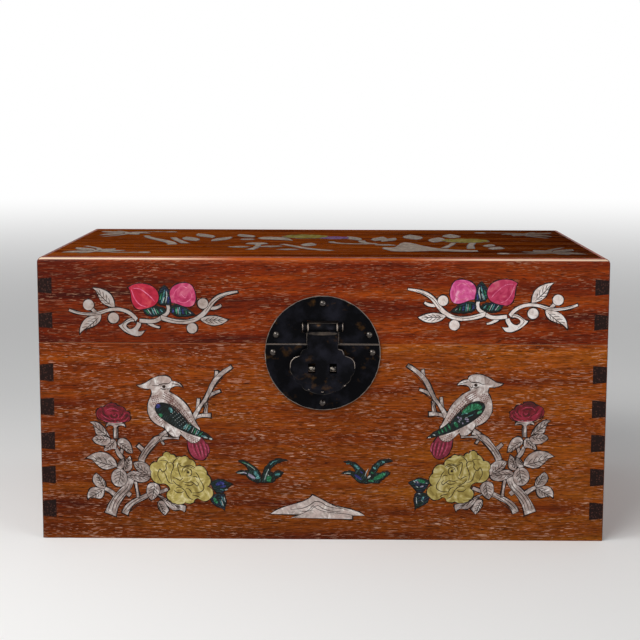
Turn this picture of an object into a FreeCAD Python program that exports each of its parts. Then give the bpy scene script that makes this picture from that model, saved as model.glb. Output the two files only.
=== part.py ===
import FreeCAD, Part
import math
import os
import re

import Sketcher
from FreeCAD import Placement, Rotation, Vector

# A hinged-lid games chest of dovetailed hardwood boards, inlaid with mother-of-pearl, abalone and
# dyed shell, with a round two-leaf lock plate, a hasp over two staples, two round hinges and a
# lift-out tray.  Millimetres.  The origin is on the floor under the middle of the chest: +X is the
# right-hand end seen from the front, -Y the front, +Z up.

doc = FreeCAD.newDocument("inlaid_chest")

# ------------------------------------------------------------------ driving dimensions

DIMENSIONS = {
    # carcass
    "box_width": 300, "box_depth": 188, "case_height": 106, "lid_height": 45.5,
    "board": 7.6, "panel": 6, "rebate": 3.8, "corner_round": 0.8, "lid_round": 2.8,
    "rim_round": 0.45,
    # dovetail pins of the side boards
    "pin_pitch": 18.45, "case_pin_low": 16.3, "case_pin_inner": 9.7, "case_pin_outer": 8.4,
    "lid_pin_low": 118, "lid_pin_inner": 8.6, "lid_pin_outer": 7.2,
    # shell inlay
    "inlay_depth": 1, "inlay_proud": 0.2, "glue_gap": 0.3, "pocket_play": 0.1,
    # how the right-hand motifs were set, against the mirror image of the left-hand ones
    "right_scene_in": 2.8, "right_scene_up": 1.6, "right_scene_turn": 0.6,
    "right_sprig_up": 2.7, "right_sprig_turn": 1.4, "swallow_step": 56.6,
    # lock plate, hasp and staples
    "lock_radius": 30.4, "lock_height": 101.2, "plate": 1.2, "plate_gap": 0.15,
    "hasp_axis_height": 115.3, "axis_stand": 2.6, "barrel_radius": 2.4, "hasp_half": 8,
    "notch_half": 8.2, "notch_rise": 3.2, "ear_in": 8.35, "ear_out": 10.65, "hasp_thick": 1,
    "hasp_rest": 8, "hasp_pin_radius": 1, "hasp_running": 0.06, "press_play": 0.02,
    "staple_offset": 5.6, "staple_height": 93.7, "staple_stand": 4.8, "staple_ring": 1.8,
    "staple_eye": 0.95, "staple_width": 3, "staple_shank": 1.8, "staple_tail": 9,
    "staple_clinch": 0.9, "slot_width": 3.8, "slot_height": 5.2,
    # nails
    "nail_head": 1.85, "nail_rise": 1.2, "nail_shank": 0.7, "nail_length": 6,
    # hinges
    "hinge_offset": 85, "hinge_radius": 20, "outer_knuckle": 12, "middle_knuckle": 5,
    "knuckle_play": 0.2, "leaf_clear": 2.7, "hinge_pin_radius": 1.1, "pin_head": 1.3,
    "pin_head_thick": 0.8, "stop_radius": 4.2, "stop_start": 66, "stop_end": 94,
    # lift-out tray and the rails that carry it
    "tray_width": 282, "tray_depth": 170, "tray_height": 26, "tray_base": 78,
    "tray_board": 5, "tray_floor": 3, "divider": 4, "divider_height": 17,
    "rail_width": 6, "rail_height": 8, "finger_radius": 12,
}

sheet = doc.addObject("Spreadsheet::Sheet", "Dimensions")
for row, (alias, value) in enumerate(DIMENSIONS.items(), start=1):
    sheet.set(f"A{row}", alias)
    sheet.set(f"B{row}", str(value))
    sheet.setAlias(f"B{row}", alias)
doc.recompute()


def dim(alias):
    """The sheet's value of a driving dimension, in millimetres or degrees."""
    return float(sheet.get(alias))


def from_sheet(expression):
    """Turn 'box_width / 2' into 'Dimensions.box_width / 2', the form setExpression needs."""
    return re.sub(r"[a-z_]+", lambda word: f"Dimensions.{word.group(0)}", expression)


# ------------------------------------------------------------------ building blocks

ALONG_X = Rotation(Vector(0, 1, 0), 90)
TOWARDS_FRONT = Rotation(Vector(1, 0, 0), 90)
TOWARDS_BACK = Rotation(Vector(1, 0, 0), -90)
UPRIGHT = Rotation()


def place(item, at, turn=UPRIGHT):
    """Turn an object and tie its position to three sheet expressions."""
    item.Placement = Placement(Vector(), turn)
    for axis, expression in zip("xyz", at):
        item.setExpression(f"Placement.Base.{axis}", from_sheet(expression))
    return item


def block(name, size, at):
    """A box with its low corner at 'at'; both are given as sheet expressions."""
    box = doc.addObject("Part::Box", name)
    for side, expression in zip(("Length", "Width", "Height"), size):
        box.setExpression(side, from_sheet(expression))
    return place(box, at)


def rod(name, radius, height, at, turn):
    """A cylinder from 'at' along the turned Z axis."""
    cylinder = doc.addObject("Part::Cylinder", name)
    cylinder.setExpression("Radius", from_sheet(radius))
    cylinder.setExpression("Height", from_sheet(height))
    return place(cylinder, at, turn)


def group(name, items):
    compound = doc.addObject("Part::Compound", name)
    compound.Links = items
    return compound


def fuse(name, items):
    union = doc.addObject("Part::MultiFuse", name)
    union.Shapes = items
    return union


def common(name, items):
    shared = doc.addObject("Part::MultiCommon", name)
    shared.Shapes = items
    return shared


def cut(name, base, tools):
    """The base less every tool."""
    remainder = doc.addObject("Part::Cut", name)
    remainder.Base = base
    remainder.Tool = tools[0] if len(tools) == 1 else group(f"{name}_tools", tools)
    return remainder


def shaped(name, shape):
    """A piece whose outline no primitive gives, held as a plain shape."""
    feature = doc.addObject("Part::Feature", name)
    feature.Shape = shape
    return feature


def origin_plane(body, role):
    return next(item for item in body.Origin.OriginFeatures if item.Role == role)


def padded_rectangle(name, width, depth, height):
    """A PartDesign body: a rectangle centred on its origin, padded upwards."""
    body = doc.addObject("PartDesign::Body", name)
    sketch = body.newObject("Sketcher::SketchObject", f"{name}_sketch")
    sketch.AttachmentSupport = [(origin_plane(body, "XY_Plane"), "")]
    sketch.MapMode = "FlatFace"
    corners = [Vector(-10, -5), Vector(10, -5), Vector(10, 5), Vector(-10, 5)]
    for index, corner in enumerate(corners):
        sketch.addGeometry(Part.LineSegment(corner, corners[(index + 1) % 4]))
    for index in range(4):
        sketch.addConstraint(Sketcher.Constraint("Coincident", index, 2, (index + 1) % 4, 1))
        way = "Vertical" if index % 2 else "Horizontal"
        sketch.addConstraint(Sketcher.Constraint(way, index))
    sketch.addConstraint(Sketcher.Constraint("Symmetric", 0, 1, 1, 2, -1, 1))
    across = sketch.addConstraint(Sketcher.Constraint("DistanceX", 0, 1, 0, 2, 20))
    along = sketch.addConstraint(Sketcher.Constraint("DistanceY", 1, 1, 1, 2, 10))
    sketch.setExpression(f"Constraints[{across}]", from_sheet(width))
    sketch.setExpression(f"Constraints[{along}]", from_sheet(depth))
    pad = body.newObject("PartDesign::Pad", f"{name}_pad")
    pad.Profile = sketch
    pad.setExpression("Length", from_sheet(height))
    body.Tip = pad
    doc.recompute()
    return body


def round_edges(body, name, radius, wanted):
    """Fillet the edges of the body's last feature for which wanted(edge) holds."""
    last = body.Tip
    names = [f"Edge{number}" for number, edge in enumerate(last.Shape.Edges, start=1)
             if wanted(edge)]
    fillet = body.newObject("PartDesign::Fillet", name)
    fillet.Base = (last, names)
    fillet.setExpression("Radius", from_sheet(radius))
    body.Tip = fillet
    doc.recompute()
    return body


def is_upright(edge):
    first, last = edge.Vertexes[0].Point, edge.Vertexes[-1].Point
    return abs(first.z - last.z) > 1


NODES = {}


def node(name, item):
    """Give a finished piece its name."""
    item.Label = name
    NODES[name] = item
    return item


# ------------------------------------------------------------------ inlay outlines

def spline(points):
    """A straight edge through two points, or a smooth one through more."""
    vectors = [Vector(u, v) for u, v in points]
    if len(vectors) == 2:
        return Part.LineSegment(*vectors).toShape()
    curve = Part.BSplineCurve()
    curve.interpolate(vectors)
    return curve.toShape()


def outline(*runs):
    """A face bounded by smooth runs that meet at corners.

    Each run starts where the one before it ended, and the last run returns to the first point.
    """
    start = runs[0][0]
    edges = [spline(runs[0])]
    end = runs[0][-1]
    for run in runs[1:-1]:
        edges.append(spline([end] + run))
        end = run[-1]
    edges.append(spline([end] + runs[-1] + [start]))
    return Part.Face(Part.Wire(edges))


def stem(*stations):
    """A twig: a ribbon about the centre line through (u, v, width) stations, cut square."""
    sides = ([], [])
    for index, (u, v, width) in enumerate(stations):
        before = stations[max(index - 1, 0)]
        after = stations[min(index + 1, len(stations) - 1)]
        run = Vector(after[0] - before[0], after[1] - before[1]).normalize()
        for side, sign in zip(sides, (1, -1)):
            side.append((u - sign * run.y * width / 2, v + sign * run.x * width / 2))
    left, right = sides
    return outline(left, [right[-1]], right[-2::-1], [])


def lobed(*points):
    """A scalloped face: arcs from cusp to cusp, each through the crown given between them."""
    vectors = [Vector(u, v) for u, v in points]
    count = len(vectors)
    arcs = [Part.Arc(vectors[i], vectors[i + 1], vectors[(i + 2) % count]).toShape()
            for i in range(0, count, 2)]
    return Part.Face(Part.Wire(arcs))


def disc(u, v, radius):
    return Part.Face(Part.Wire(Part.makeCircle(radius, Vector(u, v))))


def grown(face, margin):
    """The face made larger all round, its edges turned to plain splines."""
    return face.makeOffset2D(margin).toNurbs()


def fit_together(pieces):
    """Cut each (group, face) back from the ones before it, with a glue gap between them."""
    gap = dim("glue_gap")
    smallest = 1.0
    fitted = []
    for kind, face in pieces:
        near = [other for _, other in fitted if other.BoundBox.intersect(face.BoundBox)]
        if near:
            face = face.cut([grown(other, gap) for other in near])
        fitted += [(kind, part) for part in face.Faces if part.Area > smallest]
    return fitted


def mirrored(pieces):
    """The same pieces on the other side of the middle line."""
    return [(kind, face.mirror(Vector(), Vector(1, 0, 0))) for kind, face in pieces]


def moved(pieces, shift_u, shift_v, turn=0, about=Vector()):
    """The same pieces turned about a point, in degrees, and shifted."""
    shift = Vector(shift_u, shift_v)
    return [(kind, face.rotated(about, Vector(0, 0, 1), turn).translated(shift))
            for kind, face in pieces]


def as_plates(faces, lift):
    """Inlay plates: from the pocket floor to a little proud of the wood."""
    depth = dim("inlay_depth")
    plates = []
    for face in faces:
        base = face.translated(Vector(0, 0, -depth))
        plate = base.extrude(Vector(0, 0, depth + dim("inlay_proud")))
        plates.append(plate)
    shape = Part.makeCompound(plates)
    shape.Placement = lift
    return shape


def as_pockets(faces, lift):
    """The pockets that take the plates, each a little wider than its plate."""
    depth, play = dim("inlay_depth"), dim("pocket_play")
    tools = [grown(face, play).translated(Vector(0, 0, -depth)).extrude(Vector(0, 0, 2 * depth))
             for face in faces]
    shape = Part.makeCompound(tools)
    shape.Placement = lift
    return shape


# Bird on a perch, peony, trunk and leaves: the left half of the case front.
# u is measured from the middle of the chest, v from the floor.

def wing_and_bird():
    return [
        ("wings", outline([(-88.8, 71.3), (-87.2, 73.7), (-84.6, 74.0), (-79.5, 72.1), (-73.4, 66.2),
                           (-66.5, 59.9), (-61.8, 57.1), (-58.1, 54.3)],
                          [(-62.5, 55.2), (-69.5, 57.2), (-77.5, 60.7), (-84.8, 65.4),
                           (-88.2, 69.2)])),
        ("birds", outline([(-98.2, 83.4), (-94.2, 84.5), (-90.6, 86.7), (-87.2, 88.2), (-83.8, 88.5),
                           (-81.0, 87.7), (-80.0, 85.7)],
                          [(-77.4, 85.3), (-74.3, 82.8)],
                          [(-77.2, 83.2), (-79.9, 82.4), (-81.4, 79.9)],
                          [(-77.5, 77.9), (-73.4, 74.4), (-70.2, 70.0), (-68.4, 66.0), (-65.3, 60.4)],
                          [(-64.8, 55.0)],
                          [(-66.7, 53.0), (-69.6, 52.6), (-72.5, 54.5), (-75.6, 57.3)],
                          [(-76.2, 55.9)],
                          [(-80.6, 56.7), (-82.9, 59.2), (-84.8, 61.0)],
                          [(-89.0, 63.2), (-92.2, 67.6), (-92.6, 73.0), (-91.2, 77.0)],
                          [(-90.4, 79.3), (-91.2, 81.6)],
                          [(-94.2, 81.7), (-96.6, 82.4)])),
        ("tails", outline([(-71.9, 54.0), (-71.1, 49.0), (-69.6, 45.8), (-66.8, 43.6), (-63.6, 43.2)],
                          [(-61.6, 45.2), (-60.6, 48.6), (-62.0, 52.2), (-64.2, 55.2)],
                          [])),
    ]


def peony():
    return [("peonies", lobed(
        (-88.0, 41.7), (-86.9, 44.1), (-84.9, 45.2), (-82.9, 47.3), (-80.8, 45.8), (-79.0, 45.6),
        (-78.2, 43.9), (-76.8, 44.8), (-74.9, 44.5), (-72.9, 45.1), (-71.1, 43.4), (-68.7, 42.5),
        (-67.7, 39.4), (-63.6, 39.3), (-61.8, 35.1), (-59.7, 32.2), (-61.5, 28.6), (-58.5, 26.1),
        (-59.9, 22.3), (-62.4, 20.8), (-66.0, 22.2), (-67.7, 21.9), (-68.7, 20.2), (-70.8, 19.4),
        (-73.2, 19.9), (-78.0, 19.0), (-81.7, 21.2), (-83.1, 24.0), (-81.2, 26.8), (-82.4, 29.2),
        (-85.1, 30.3), (-89.2, 31.0), (-91.2, 36.7), (-91.2, 40.7)))]


def crimson_flower():
    return [
        ("branches", outline([(-114.9, 61.1), (-113.9, 63.1), (-112.0, 63.6), (-110.1, 63.2)],
                             [(-107.8, 63.7), (-106.2, 63.1), (-104.9, 61.0)],
                             [(-106.8, 61.8), (-108.9, 61.4), (-109.1, 59.6)],
                             [(-109.1, 54.8)], [(-110.9, 54.8)], [(-110.9, 59.6)],
                             [(-111.4, 61.4), (-113.2, 61.9)])),
        ("red_flowers", lobed(
            (-120.2, 68.4), (-118.4, 71.0), (-115.6, 71.6), (-114.1, 73.1), (-112.0, 73.7),
            (-109.9, 73.3), (-108.9, 72.1), (-105.9, 71.4), (-104.3, 69.2), (-102.6, 68.5),
            (-102.3, 66.6), (-102.5, 64.6), (-104.4, 63.9), (-110.8, 63.0), (-116.8, 64.6),
            (-119.4, 66.0))),
    ]


def dark_leaves():
    return [
        ("dark_leaves", outline([(-59.6, 30.3), (-57.6, 31.9), (-54.6, 32.4), (-51.4, 31.5),
                                 (-48.6, 30.0)],
                                [(-51.0, 27.9), (-53.4, 25.4)], [(-56.0, 25.3)],
                                [(-57.8, 27.3)])),
        ("dark_leaves", outline([(-59.3, 22.4), (-57.9, 23.9), (-55.4, 24.7), (-52.6, 24.4)],
                                [(-51.8, 21.8), (-51.9, 18.8), (-52.3, 15.9)],
                                [(-55.0, 17.5), (-57.8, 19.0)])),
    ]


def white_leaves():
    tip_and_sides = (
        # beside the crimson flower
        ([(-123.5, 63.4), (-120.6, 63.5), (-117.2, 61.4), (-115.0, 58.6), (-113.2, 55.4)],
         [(-116.6, 56.4), (-120.0, 57.0), (-121.0, 59.6)]),
        ([(-122.4, 54.2), (-119.8, 56.1), (-116.4, 56.0), (-113.0, 54.4)],
         [(-113.8, 51.6), (-117.0, 50.9), (-120.2, 51.9)]),
        ([(-113.2, 53.6), (-110.4, 53.6), (-109.7, 51.0), (-110.2, 48.8)],
         [(-113.0, 48.7), (-116.0, 48.0), (-115.2, 50.9)]),
        ([(-109.0, 52.6), (-107.0, 54.7), (-104.5, 54.1), (-102.6, 52.0), (-101.2, 46.8)],
         [(-103.6, 47.2), (-105.6, 48.9), (-107.9, 50.2)]),
        # round the trunk
        ([(-125.5, 44.0), (-121.4, 46.5), (-117.0, 47.0), (-113.2, 45.5), (-109.7, 39.4)],
         [(-112.6, 38.3), (-115.8, 37.9), (-118.8, 39.2), (-122.0, 42.3)]),
        ([(-109.6, 38.9), (-108.4, 41.6), (-106.2, 43.7)],
         [(-105.7, 41.0), (-106.8, 38.4)]),
        ([(-105.4, 36.9), (-105.7, 40.8), (-102.5, 44.9)],
         [(-101.7, 42.0), (-101.9, 38.4)]),
        ([(-107.4, 38.2), (-110.6, 37.4), (-112.6, 34.0), (-111.8, 30.4), (-109.4, 28.6)],
         [(-106.4, 28.9), (-104.4, 31.6), (-104.9, 35.8)]),
        ([(-100.6, 41.3), (-96.8, 42.0), (-93.3, 40.5), (-91.4, 37.0), (-91.9, 34.1)],
         [(-95.2, 35.2), (-99.0, 37.9)]),
        ([(-104.6, 34.6), (-101.4, 36.8), (-97.8, 36.3), (-92.0, 33.4)],
         [(-93.6, 31.6), (-97.5, 31.0), (-101.3, 32.5)]),
        ([(-120.6, 35.5), (-118.0, 33.4), (-116.2, 30.6), (-116.3, 27.6)],
         [(-119.6, 28.0), (-122.2, 30.8), (-122.4, 33.4)]),
        ([(-116.7, 27.0), (-120.0, 27.8), (-123.1, 27.6), (-125.2, 25.0), (-125.3, 21.8)],
         [(-121.8, 22.3), (-118.5, 22.0), (-116.9, 24.4)]),
        # under the peony
        ([(-93.6, 28.2), (-91.6, 30.4), (-88.4, 29.9), (-86.8, 27.4), (-88.4, 23.3), (-91.3, 21.1)],
         [(-92.8, 22.8), (-93.8, 25.4)]),
        ([(-87.6, 20.3), (-85.4, 20.5), (-83.5, 18.2), (-82.0, 15.6)],
         [(-84.2, 12.8)], [(-86.2, 15.0), (-87.7, 17.6)]),
        ([(-88.2, 23.7), (-84.6, 22.5), (-81.4, 20.2), (-77.4, 19.0), (-73.3, 18.0)],
         [(-73.2, 16.2), (-73.9, 14.5)],
         [(-76.5, 15.9), (-79.4, 15.7), (-82.0, 17.3), (-84.4, 20.1)]),
    )
    return [("leaves", outline(*runs)) for runs in tip_and_sides]


def branches():
    stations = (
        # twig behind the bird
        ((-68.3, 65.6, 2.4), (-66.3, 70.0, 1.9), (-63.4, 74.0, 1.7), (-61.0, 78.0, 1.9),
         (-58.6, 83.4, 2.1), (-55.4, 88.0, 2.2), (-51.4, 91.4, 1.9), (-48.1, 93.6, 1.6)),
        ((-56.4, 87.4, 1.7), (-56.0, 91.3, 1.5)),
        ((-63.6, 74.2, 1.3), (-59.4, 78.4, 1.6), (-54.3, 80.6, 1.2)),
        ((-66.6, 69.8, 1.5), (-65.7, 76.4, 1.4)),
        ((-68.0, 65.9, 1.6), (-64.0, 67.3, 1.6), (-59.4, 67.3, 2.1)),
        ((-62.0, 67.8, 1.8), (-61.6, 74.2, 1.5)),
        # perch and the leg on it
        ((-76.4, 55.0, 1.2), (-83.6, 55.0, 1.2), (-87.4, 54.6, 3.0), (-92.0, 50.2, 3.1),
         (-95.0, 46.0, 3.0), (-96.5, 42.2, 3.2)),
        ((-82.7, 57.8, 3.4), (-86.6, 56.4, 1.4)),
        ((-98.2, 51.0, 1.7), (-95.0, 48.0, 2.0)),
        ((-86.0, 54.2, 1.6), (-84.4, 51.4, 0.9)),
        # trunk and its side branch
        ((-113.4, 13.2, 6.2), (-111.0, 19.4, 5.0), (-107.4, 24.6, 4.4), (-103.6, 29.2, 3.8),
         (-102.2, 32.8, 3.4)),
        ((-110.6, 23.4, 2.6), (-113.6, 26.1, 1.9), (-116.4, 27.4, 1.7)),
        ((-105.4, 26.0, 2.4), (-102.6, 23.6, 2.2)),
        ((-99.9, 31.2, 1.4), (-98.9, 27.0, 1.3), (-98.5, 22.6, 1.4)),
        # lower branch
        ((-105.6, 13.5, 3.4), (-103.4, 17.8, 3.0), (-99.0, 20.9, 2.5), (-93.4, 23.8, 2.3)),
        ((-103.8, 19.2, 1.6), (-105.0, 17.6, 1.4)),
        ((-87.2, 25.3, 1.7), (-82.7, 27.1, 1.6)),
        # stems of the upper leaves
        ((-109.8, 49.4, 1.4), (-108.6, 46.6, 2.0), (-106.2, 43.6, 1.8)),
        ((-106.6, 48.8, 1.5), (-107.4, 45.8, 1.5)),
    )
    return [("branches", stem(*run)) for run in stations]


def swallow():
    return [
        ("swallows", outline([(-44.9, 42.7), (-41.3, 42.5), (-37.6, 40.5), (-34.8, 37.9),
                              (-33.1, 34.6), (-32.7, 31.2)],
                             [(-35.8, 31.4), (-38.8, 32.9), (-40.4, 35.2)],
                             [(-42.6, 35.8), (-46.2, 36.4)],
                             [(-42.2, 37.3), (-38.7, 36.8)],
                             [(-40.2, 39.8)])),
        ("swallows", outline([(-32.2, 31.3), (-31.8, 35.0), (-30.6, 38.6), (-28.2, 41.7),
                              (-24.6, 43.6), (-19.0, 43.1)],
                             [(-23.0, 42.2), (-26.3, 40.2), (-28.3, 36.7), (-30.7, 31.3)])),
        ("swallows", outline([(-30.2, 31.2), (-29.4, 34.0), (-27.9, 36.2), (-26.2, 35.8)],
                             [(-25.2, 34.0), (-26.6, 31.2)], [])),
        ("swallows", outline([(-26.2, 36.0), (-23.8, 37.1), (-20.8, 36.7)],
                             [(-22.4, 34.9), (-24.9, 33.3)], [])),
    ]


def mountain():
    return [
        ("mountain", outline([(-16.6, 11.9), (-11.0, 13.8), (-7.0, 16.2), (-5.0, 18.4)],
                             [(-2.4, 16.4), (1.2, 15.2), (7.6, 14.4), (15.9, 13.2)],
                             [(15.9, 11.3)], [])),
        ("mountain", outline([(-27.5, 13.9), (-22.0, 17.0), (-16.0, 19.0), (-10.3, 20.8),
                              (-7.3, 22.3), (-5.2, 24.2)],
                             [(0.0, 21.7), (5.0, 19.1), (10.0, 17.7), (15.5, 16.4), (22.7, 13.2)],
                             [])),
    ]


# Peaches, leaves and a berried branch: the left half of the lid front.

def peach_sprig():
    return [
        ("peaches", outline([(-102.0, 135.5), (-98.4, 137.3), (-94.8, 137.6), (-91.2, 136.9),
                             (-87.8, 134.7), (-86.3, 131.4), (-87.6, 127.0), (-91.6, 124.9),
                             (-95.9, 123.9)],
                            [(-98.6, 125.1), (-100.3, 128.4), (-100.8, 132.2)])),
        ("peaches", outline([(-80.3, 131.6), (-79.4, 135.1), (-76.8, 137.1), (-73.2, 138.0),
                             (-69.6, 137.3), (-67.3, 133.8), (-66.8, 129.6), (-68.2, 126.3),
                             (-71.4, 125.5), (-75.6, 126.7), (-79.4, 127.6)], [])),
        ("peach_leaves", outline([(-85.1, 126.7), (-86.7, 129.6), (-86.2, 132.6), (-83.4, 136.4)],
                                 [(-81.3, 134.4), (-80.2, 130.8), (-80.2, 126.4)], [])),
        ("peach_leaves", outline([(-94.3, 123.7), (-91.8, 125.0), (-88.8, 125.4), (-85.4, 125.2),
                                  (-82.5, 123.0)],
                                 [(-84.6, 121.4), (-87.6, 120.6), (-90.6, 120.6)])),
        ("peach_leaves", outline([(-80.3, 123.6), (-78.6, 126.0), (-75.6, 126.2), (-72.2, 125.0),
                                  (-67.6, 121.3)],
                                 [(-71.0, 120.7), (-74.6, 120.5), (-78.2, 121.2)])),
        ("sprigs", outline([(-109.4, 125.2), (-109.9, 128.6), (-111.2, 131.4), (-114.4, 133.9),
                            (-121.0, 135.3)],
                           [(-118.3, 132.2), (-116.8, 128.6), (-113.4, 126.0)])),
        ("sprigs", outline([(-116.8, 121.4), (-120.2, 120.6), (-123.6, 119.6), (-126.6, 116.6),
                            (-127.9, 111.1)],
                           [(-124.6, 113.7), (-119.4, 115.8), (-117.0, 118.6)])),
        ("sprigs", outline([(-64.4, 119.1), (-61.2, 120.3), (-57.8, 120.7), (-54.2, 120.1),
                            (-50.0, 118.6)],
                           [(-53.6, 116.3), (-57.4, 115.7), (-60.8, 116.4)])),
        ("sprigs", disc(-123.2, 126.3, 2.8)),
        ("sprigs", disc(-110.1, 119.4, 2.8)),
        ("sprigs", disc(-63.0, 127.2, 2.7)),
        ("sprigs", disc(-68.8, 114.1, 2.7)),
        ("sprigs", stem((-133.4, 123.5, 1.1), (-129.6, 122.2, 1.1), (-124.4, 121.4, 1.2),
                        (-118.6, 121.7, 1.6), (-113.6, 123.3, 1.5), (-107.6, 124.0, 1.6),
                        (-102.6, 122.6, 1.7), (-98.0, 118.4, 1.9))),
        ("sprigs", stem((-121.6, 124.4, 1.6), (-119.0, 121.9, 1.6))),
        ("sprigs", stem((-109.8, 124.2, 1.7), (-110.0, 121.6, 1.4))),
        ("sprigs", stem((-96.4, 118.0, 1.9), (-92.6, 117.7, 1.9), (-89.4, 117.7, 1.9),
                        (-85.4, 119.4, 2.1))),
        ("sprigs", outline([(-99.2, 118.9), (-102.2, 118.7), (-105.0, 116.7), (-107.4, 115.4)],
                           [(-105.0, 112.8), (-101.0, 110.6), (-97.6, 109.8), (-95.4, 110.5)],
                           [(-93.8, 112.5)],
                           [(-97.2, 113.0), (-96.1, 114.9), (-95.9, 116.9)],
                           [(-97.7, 117.1)],
                           [(-98.2, 115.6), (-99.8, 113.9), (-102.2, 113.6), (-103.5, 115.2),
                            (-101.8, 117.2), (-99.4, 117.5)], [])),
        ("sprigs", stem((-91.8, 117.0, 1.6), (-89.0, 115.3, 1.3), (-85.9, 114.4, 0.8))),
        ("sprigs", stem((-85.4, 119.9, 2.2), (-81.0, 118.4, 2.2), (-75.6, 117.5, 2.0),
                        (-70.6, 117.6, 2.0), (-65.6, 119.6, 2.1), (-61.6, 123.0, 2.2),
                        (-58.6, 127.2, 2.1), (-54.6, 130.8, 1.8), (-50.0, 132.6, 1.4),
                        (-44.8, 133.6, 0.8))),
        ("sprigs", stem((-84.2, 120.4, 1.7), (-81.6, 122.4, 1.7), (-81.4, 126.2, 1.7))),
        ("sprigs", stem((-59.6, 125.0, 1.6), (-56.0, 125.0, 1.5), (-53.4, 126.4, 1.1))),
        ("sprigs", stem((-62.4, 125.4, 1.8), (-60.0, 124.6, 1.8))),
        ("sprigs", stem((-70.4, 117.4, 1.7), (-69.2, 115.6, 1.5))),
    ]


# The lid top.  u is measured from the middle, v back from the front face.

def leaf(base_u, base_v, tip_u, tip_v, width):
    """A pointed leaf: two bowed sides from base to tip, widest a little below the middle."""
    along = Vector(tip_u - base_u, tip_v - base_v)
    across = Vector(-along.y, along.x).normalize() * (width / 2)
    sides = []
    for sign in (1, -1):
        shares = ((0.22, 0.72), (0.48, 1.0), (0.78, 0.62))
        sides.append([(base_u + along.x * part + sign * across.x * wide,
                       base_v + along.y * part + sign * across.y * wide) for part, wide in shares])
    return outline([(base_u, base_v)] + sides[0] + [(tip_u, tip_v)], sides[1][::-1])


def blossom(u, v, radius, lobes):
    """A round flower head with even scallops."""
    points = []
    for index in range(lobes):
        for shift, reach in ((0, 0.84), (0.5, 1.0)):
            angle = 2 * math.pi * (index + shift) / lobes
            points.append((u + radius * reach * math.cos(angle),
                           v + radius * reach * math.sin(angle)))
    return lobed(*points)


def corner_sprig():
    return [
        ("top_sprigs", leaf(-126, 34, -141, 24, 9)),
        ("top_sprigs", leaf(-126, 37, -138, 52, 8)),
        ("top_sprigs", leaf(-123, 34, -116, 47, 8)),
        ("top_sprigs", leaf(-122, 31, -109, 37, 7)),
        ("top_sprigs", disc(-97, 26, 3.2)),
        ("top_sprigs", stem((-131, 21, 2), (-124, 33, 2.6), (-134, 62, 1.6))),
        ("top_sprigs", stem((-124, 31, 2.4), (-112, 26, 2), (-98, 26, 1.6))),
    ]


def top_scene():
    return [
        ("top_peonies", blossom(-12, 131, 14, 9)),
        ("top_peonies", blossom(83, 105, 14, 9)),
        ("top_flower", blossom(6, 122, 9, 6)),
        # tall bird at the right, with its tail to the right
        ("top_birds", outline([(47, 93), (51, 86), (54, 76), (58, 66), (62, 57), (71, 48), (84, 44)],
                              [(84, 38)], [(72, 37), (60, 41), (50, 37), (38, 38)],
                              [(35, 46), (33, 55), (34, 61)],
                              [(38, 59), (41, 66), (43, 78)])),
        # bird in flight at the left
        ("top_birds", outline([(-40, 120), (-33, 127), (-27, 124), (-22, 116), (-19, 101)],
                              [(-25, 106), (-31, 108), (-37, 112)])),
        ("top_leaves", leaf(-76, 98, -84, 126, 9)),
        ("top_leaves", leaf(-68, 121, -79, 150, 9)),
        ("top_leaves", leaf(-66, 97, -57, 126, 8)),
        ("top_leaves", leaf(-44, 124, -53, 146, 9)),
        ("top_leaves", leaf(-42, 61, -54, 60, 8)),
        ("top_leaves", leaf(-36, 61, -24, 67, 8)),
        ("top_leaves", leaf(-14, 46, -26, 46, 7)),
        ("top_leaves", leaf(-10, 66, -8, 87, 8)),
        ("top_leaves", leaf(20, 106, 14, 133, 8)),
        ("top_leaves", leaf(30, 102, 35, 130, 8)),
        ("top_leaves", leaf(34, 98, 42, 122, 7)),
        ("top_leaves", leaf(29, 78, 41, 73, 8)),
        ("top_leaves", leaf(54, 112, 52, 146, 11)),
        ("top_leaves", leaf(77, 124, 77, 151, 10)),
        ("top_leaves", leaf(64, 94, 69, 128, 9)),
        ("top_leaves", leaf(92, 66, 96, 82, 6)),
        ("top_leaves", leaf(94, 50, 99, 66, 8)),
        ("top_branches", disc(-39, 82, 6)),
        ("top_branches", disc(-46, 110, 4)),
        ("top_branches", stem((-109, 133, 2.6), (-102, 113, 4.2), (-94, 98, 5), (-87, 74, 4.4))),
        ("top_branches", stem((-91, 120, 3), (-87, 104, 3.4), (-80, 82, 4))),
        ("top_branches", stem((-38, 76, 2.6), (-38, 62, 2.4), (-41, 44, 4))),
        ("top_branches", stem((-24, 78, 3), (-14, 60, 4), (-2, 44, 4.4), (4, 40, 4))),
        ("top_branches", stem((4, 96, 3), (8, 86, 3.4), (18, 82, 4), (30, 84, 3))),
        ("top_branches", stem((22, 104, 3), (23, 92, 3.4), (26, 86, 3))),
        ("top_branches", stem((86, 90, 2.4), (83, 70, 3), (82, 54, 3.4))),
        ("top_branches", stem((75, 90, 2.2), (71, 72, 2.6), (67, 58, 3))),
    ]


# ------------------------------------------------------------------ carcass envelopes and joints

case_envelope = padded_rectangle("case_envelope", "box_width", "box_depth", "case_height")
round_edges(case_envelope, "case_corners", "corner_round", is_upright)
rim_level = dim("case_height")
round_edges(case_envelope, "case_rim", "rim_round",
            lambda edge: abs(edge.CenterOfMass.z - rim_level) < 0.01)

lid_envelope = padded_rectangle("lid_envelope", "box_width", "box_depth", "lid_height")
round_edges(lid_envelope, "lid_corners", "corner_round", is_upright)
top_level = dim("lid_height")
round_edges(lid_envelope, "lid_top_edges", "lid_round",
            lambda edge: abs(edge.CenterOfMass.z - top_level) < 0.01)
round_edges(lid_envelope, "lid_rim", "rim_round", lambda edge: abs(edge.CenterOfMass.z) < 0.01)
place(lid_envelope, ("0", "0", "case_height"))


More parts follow.
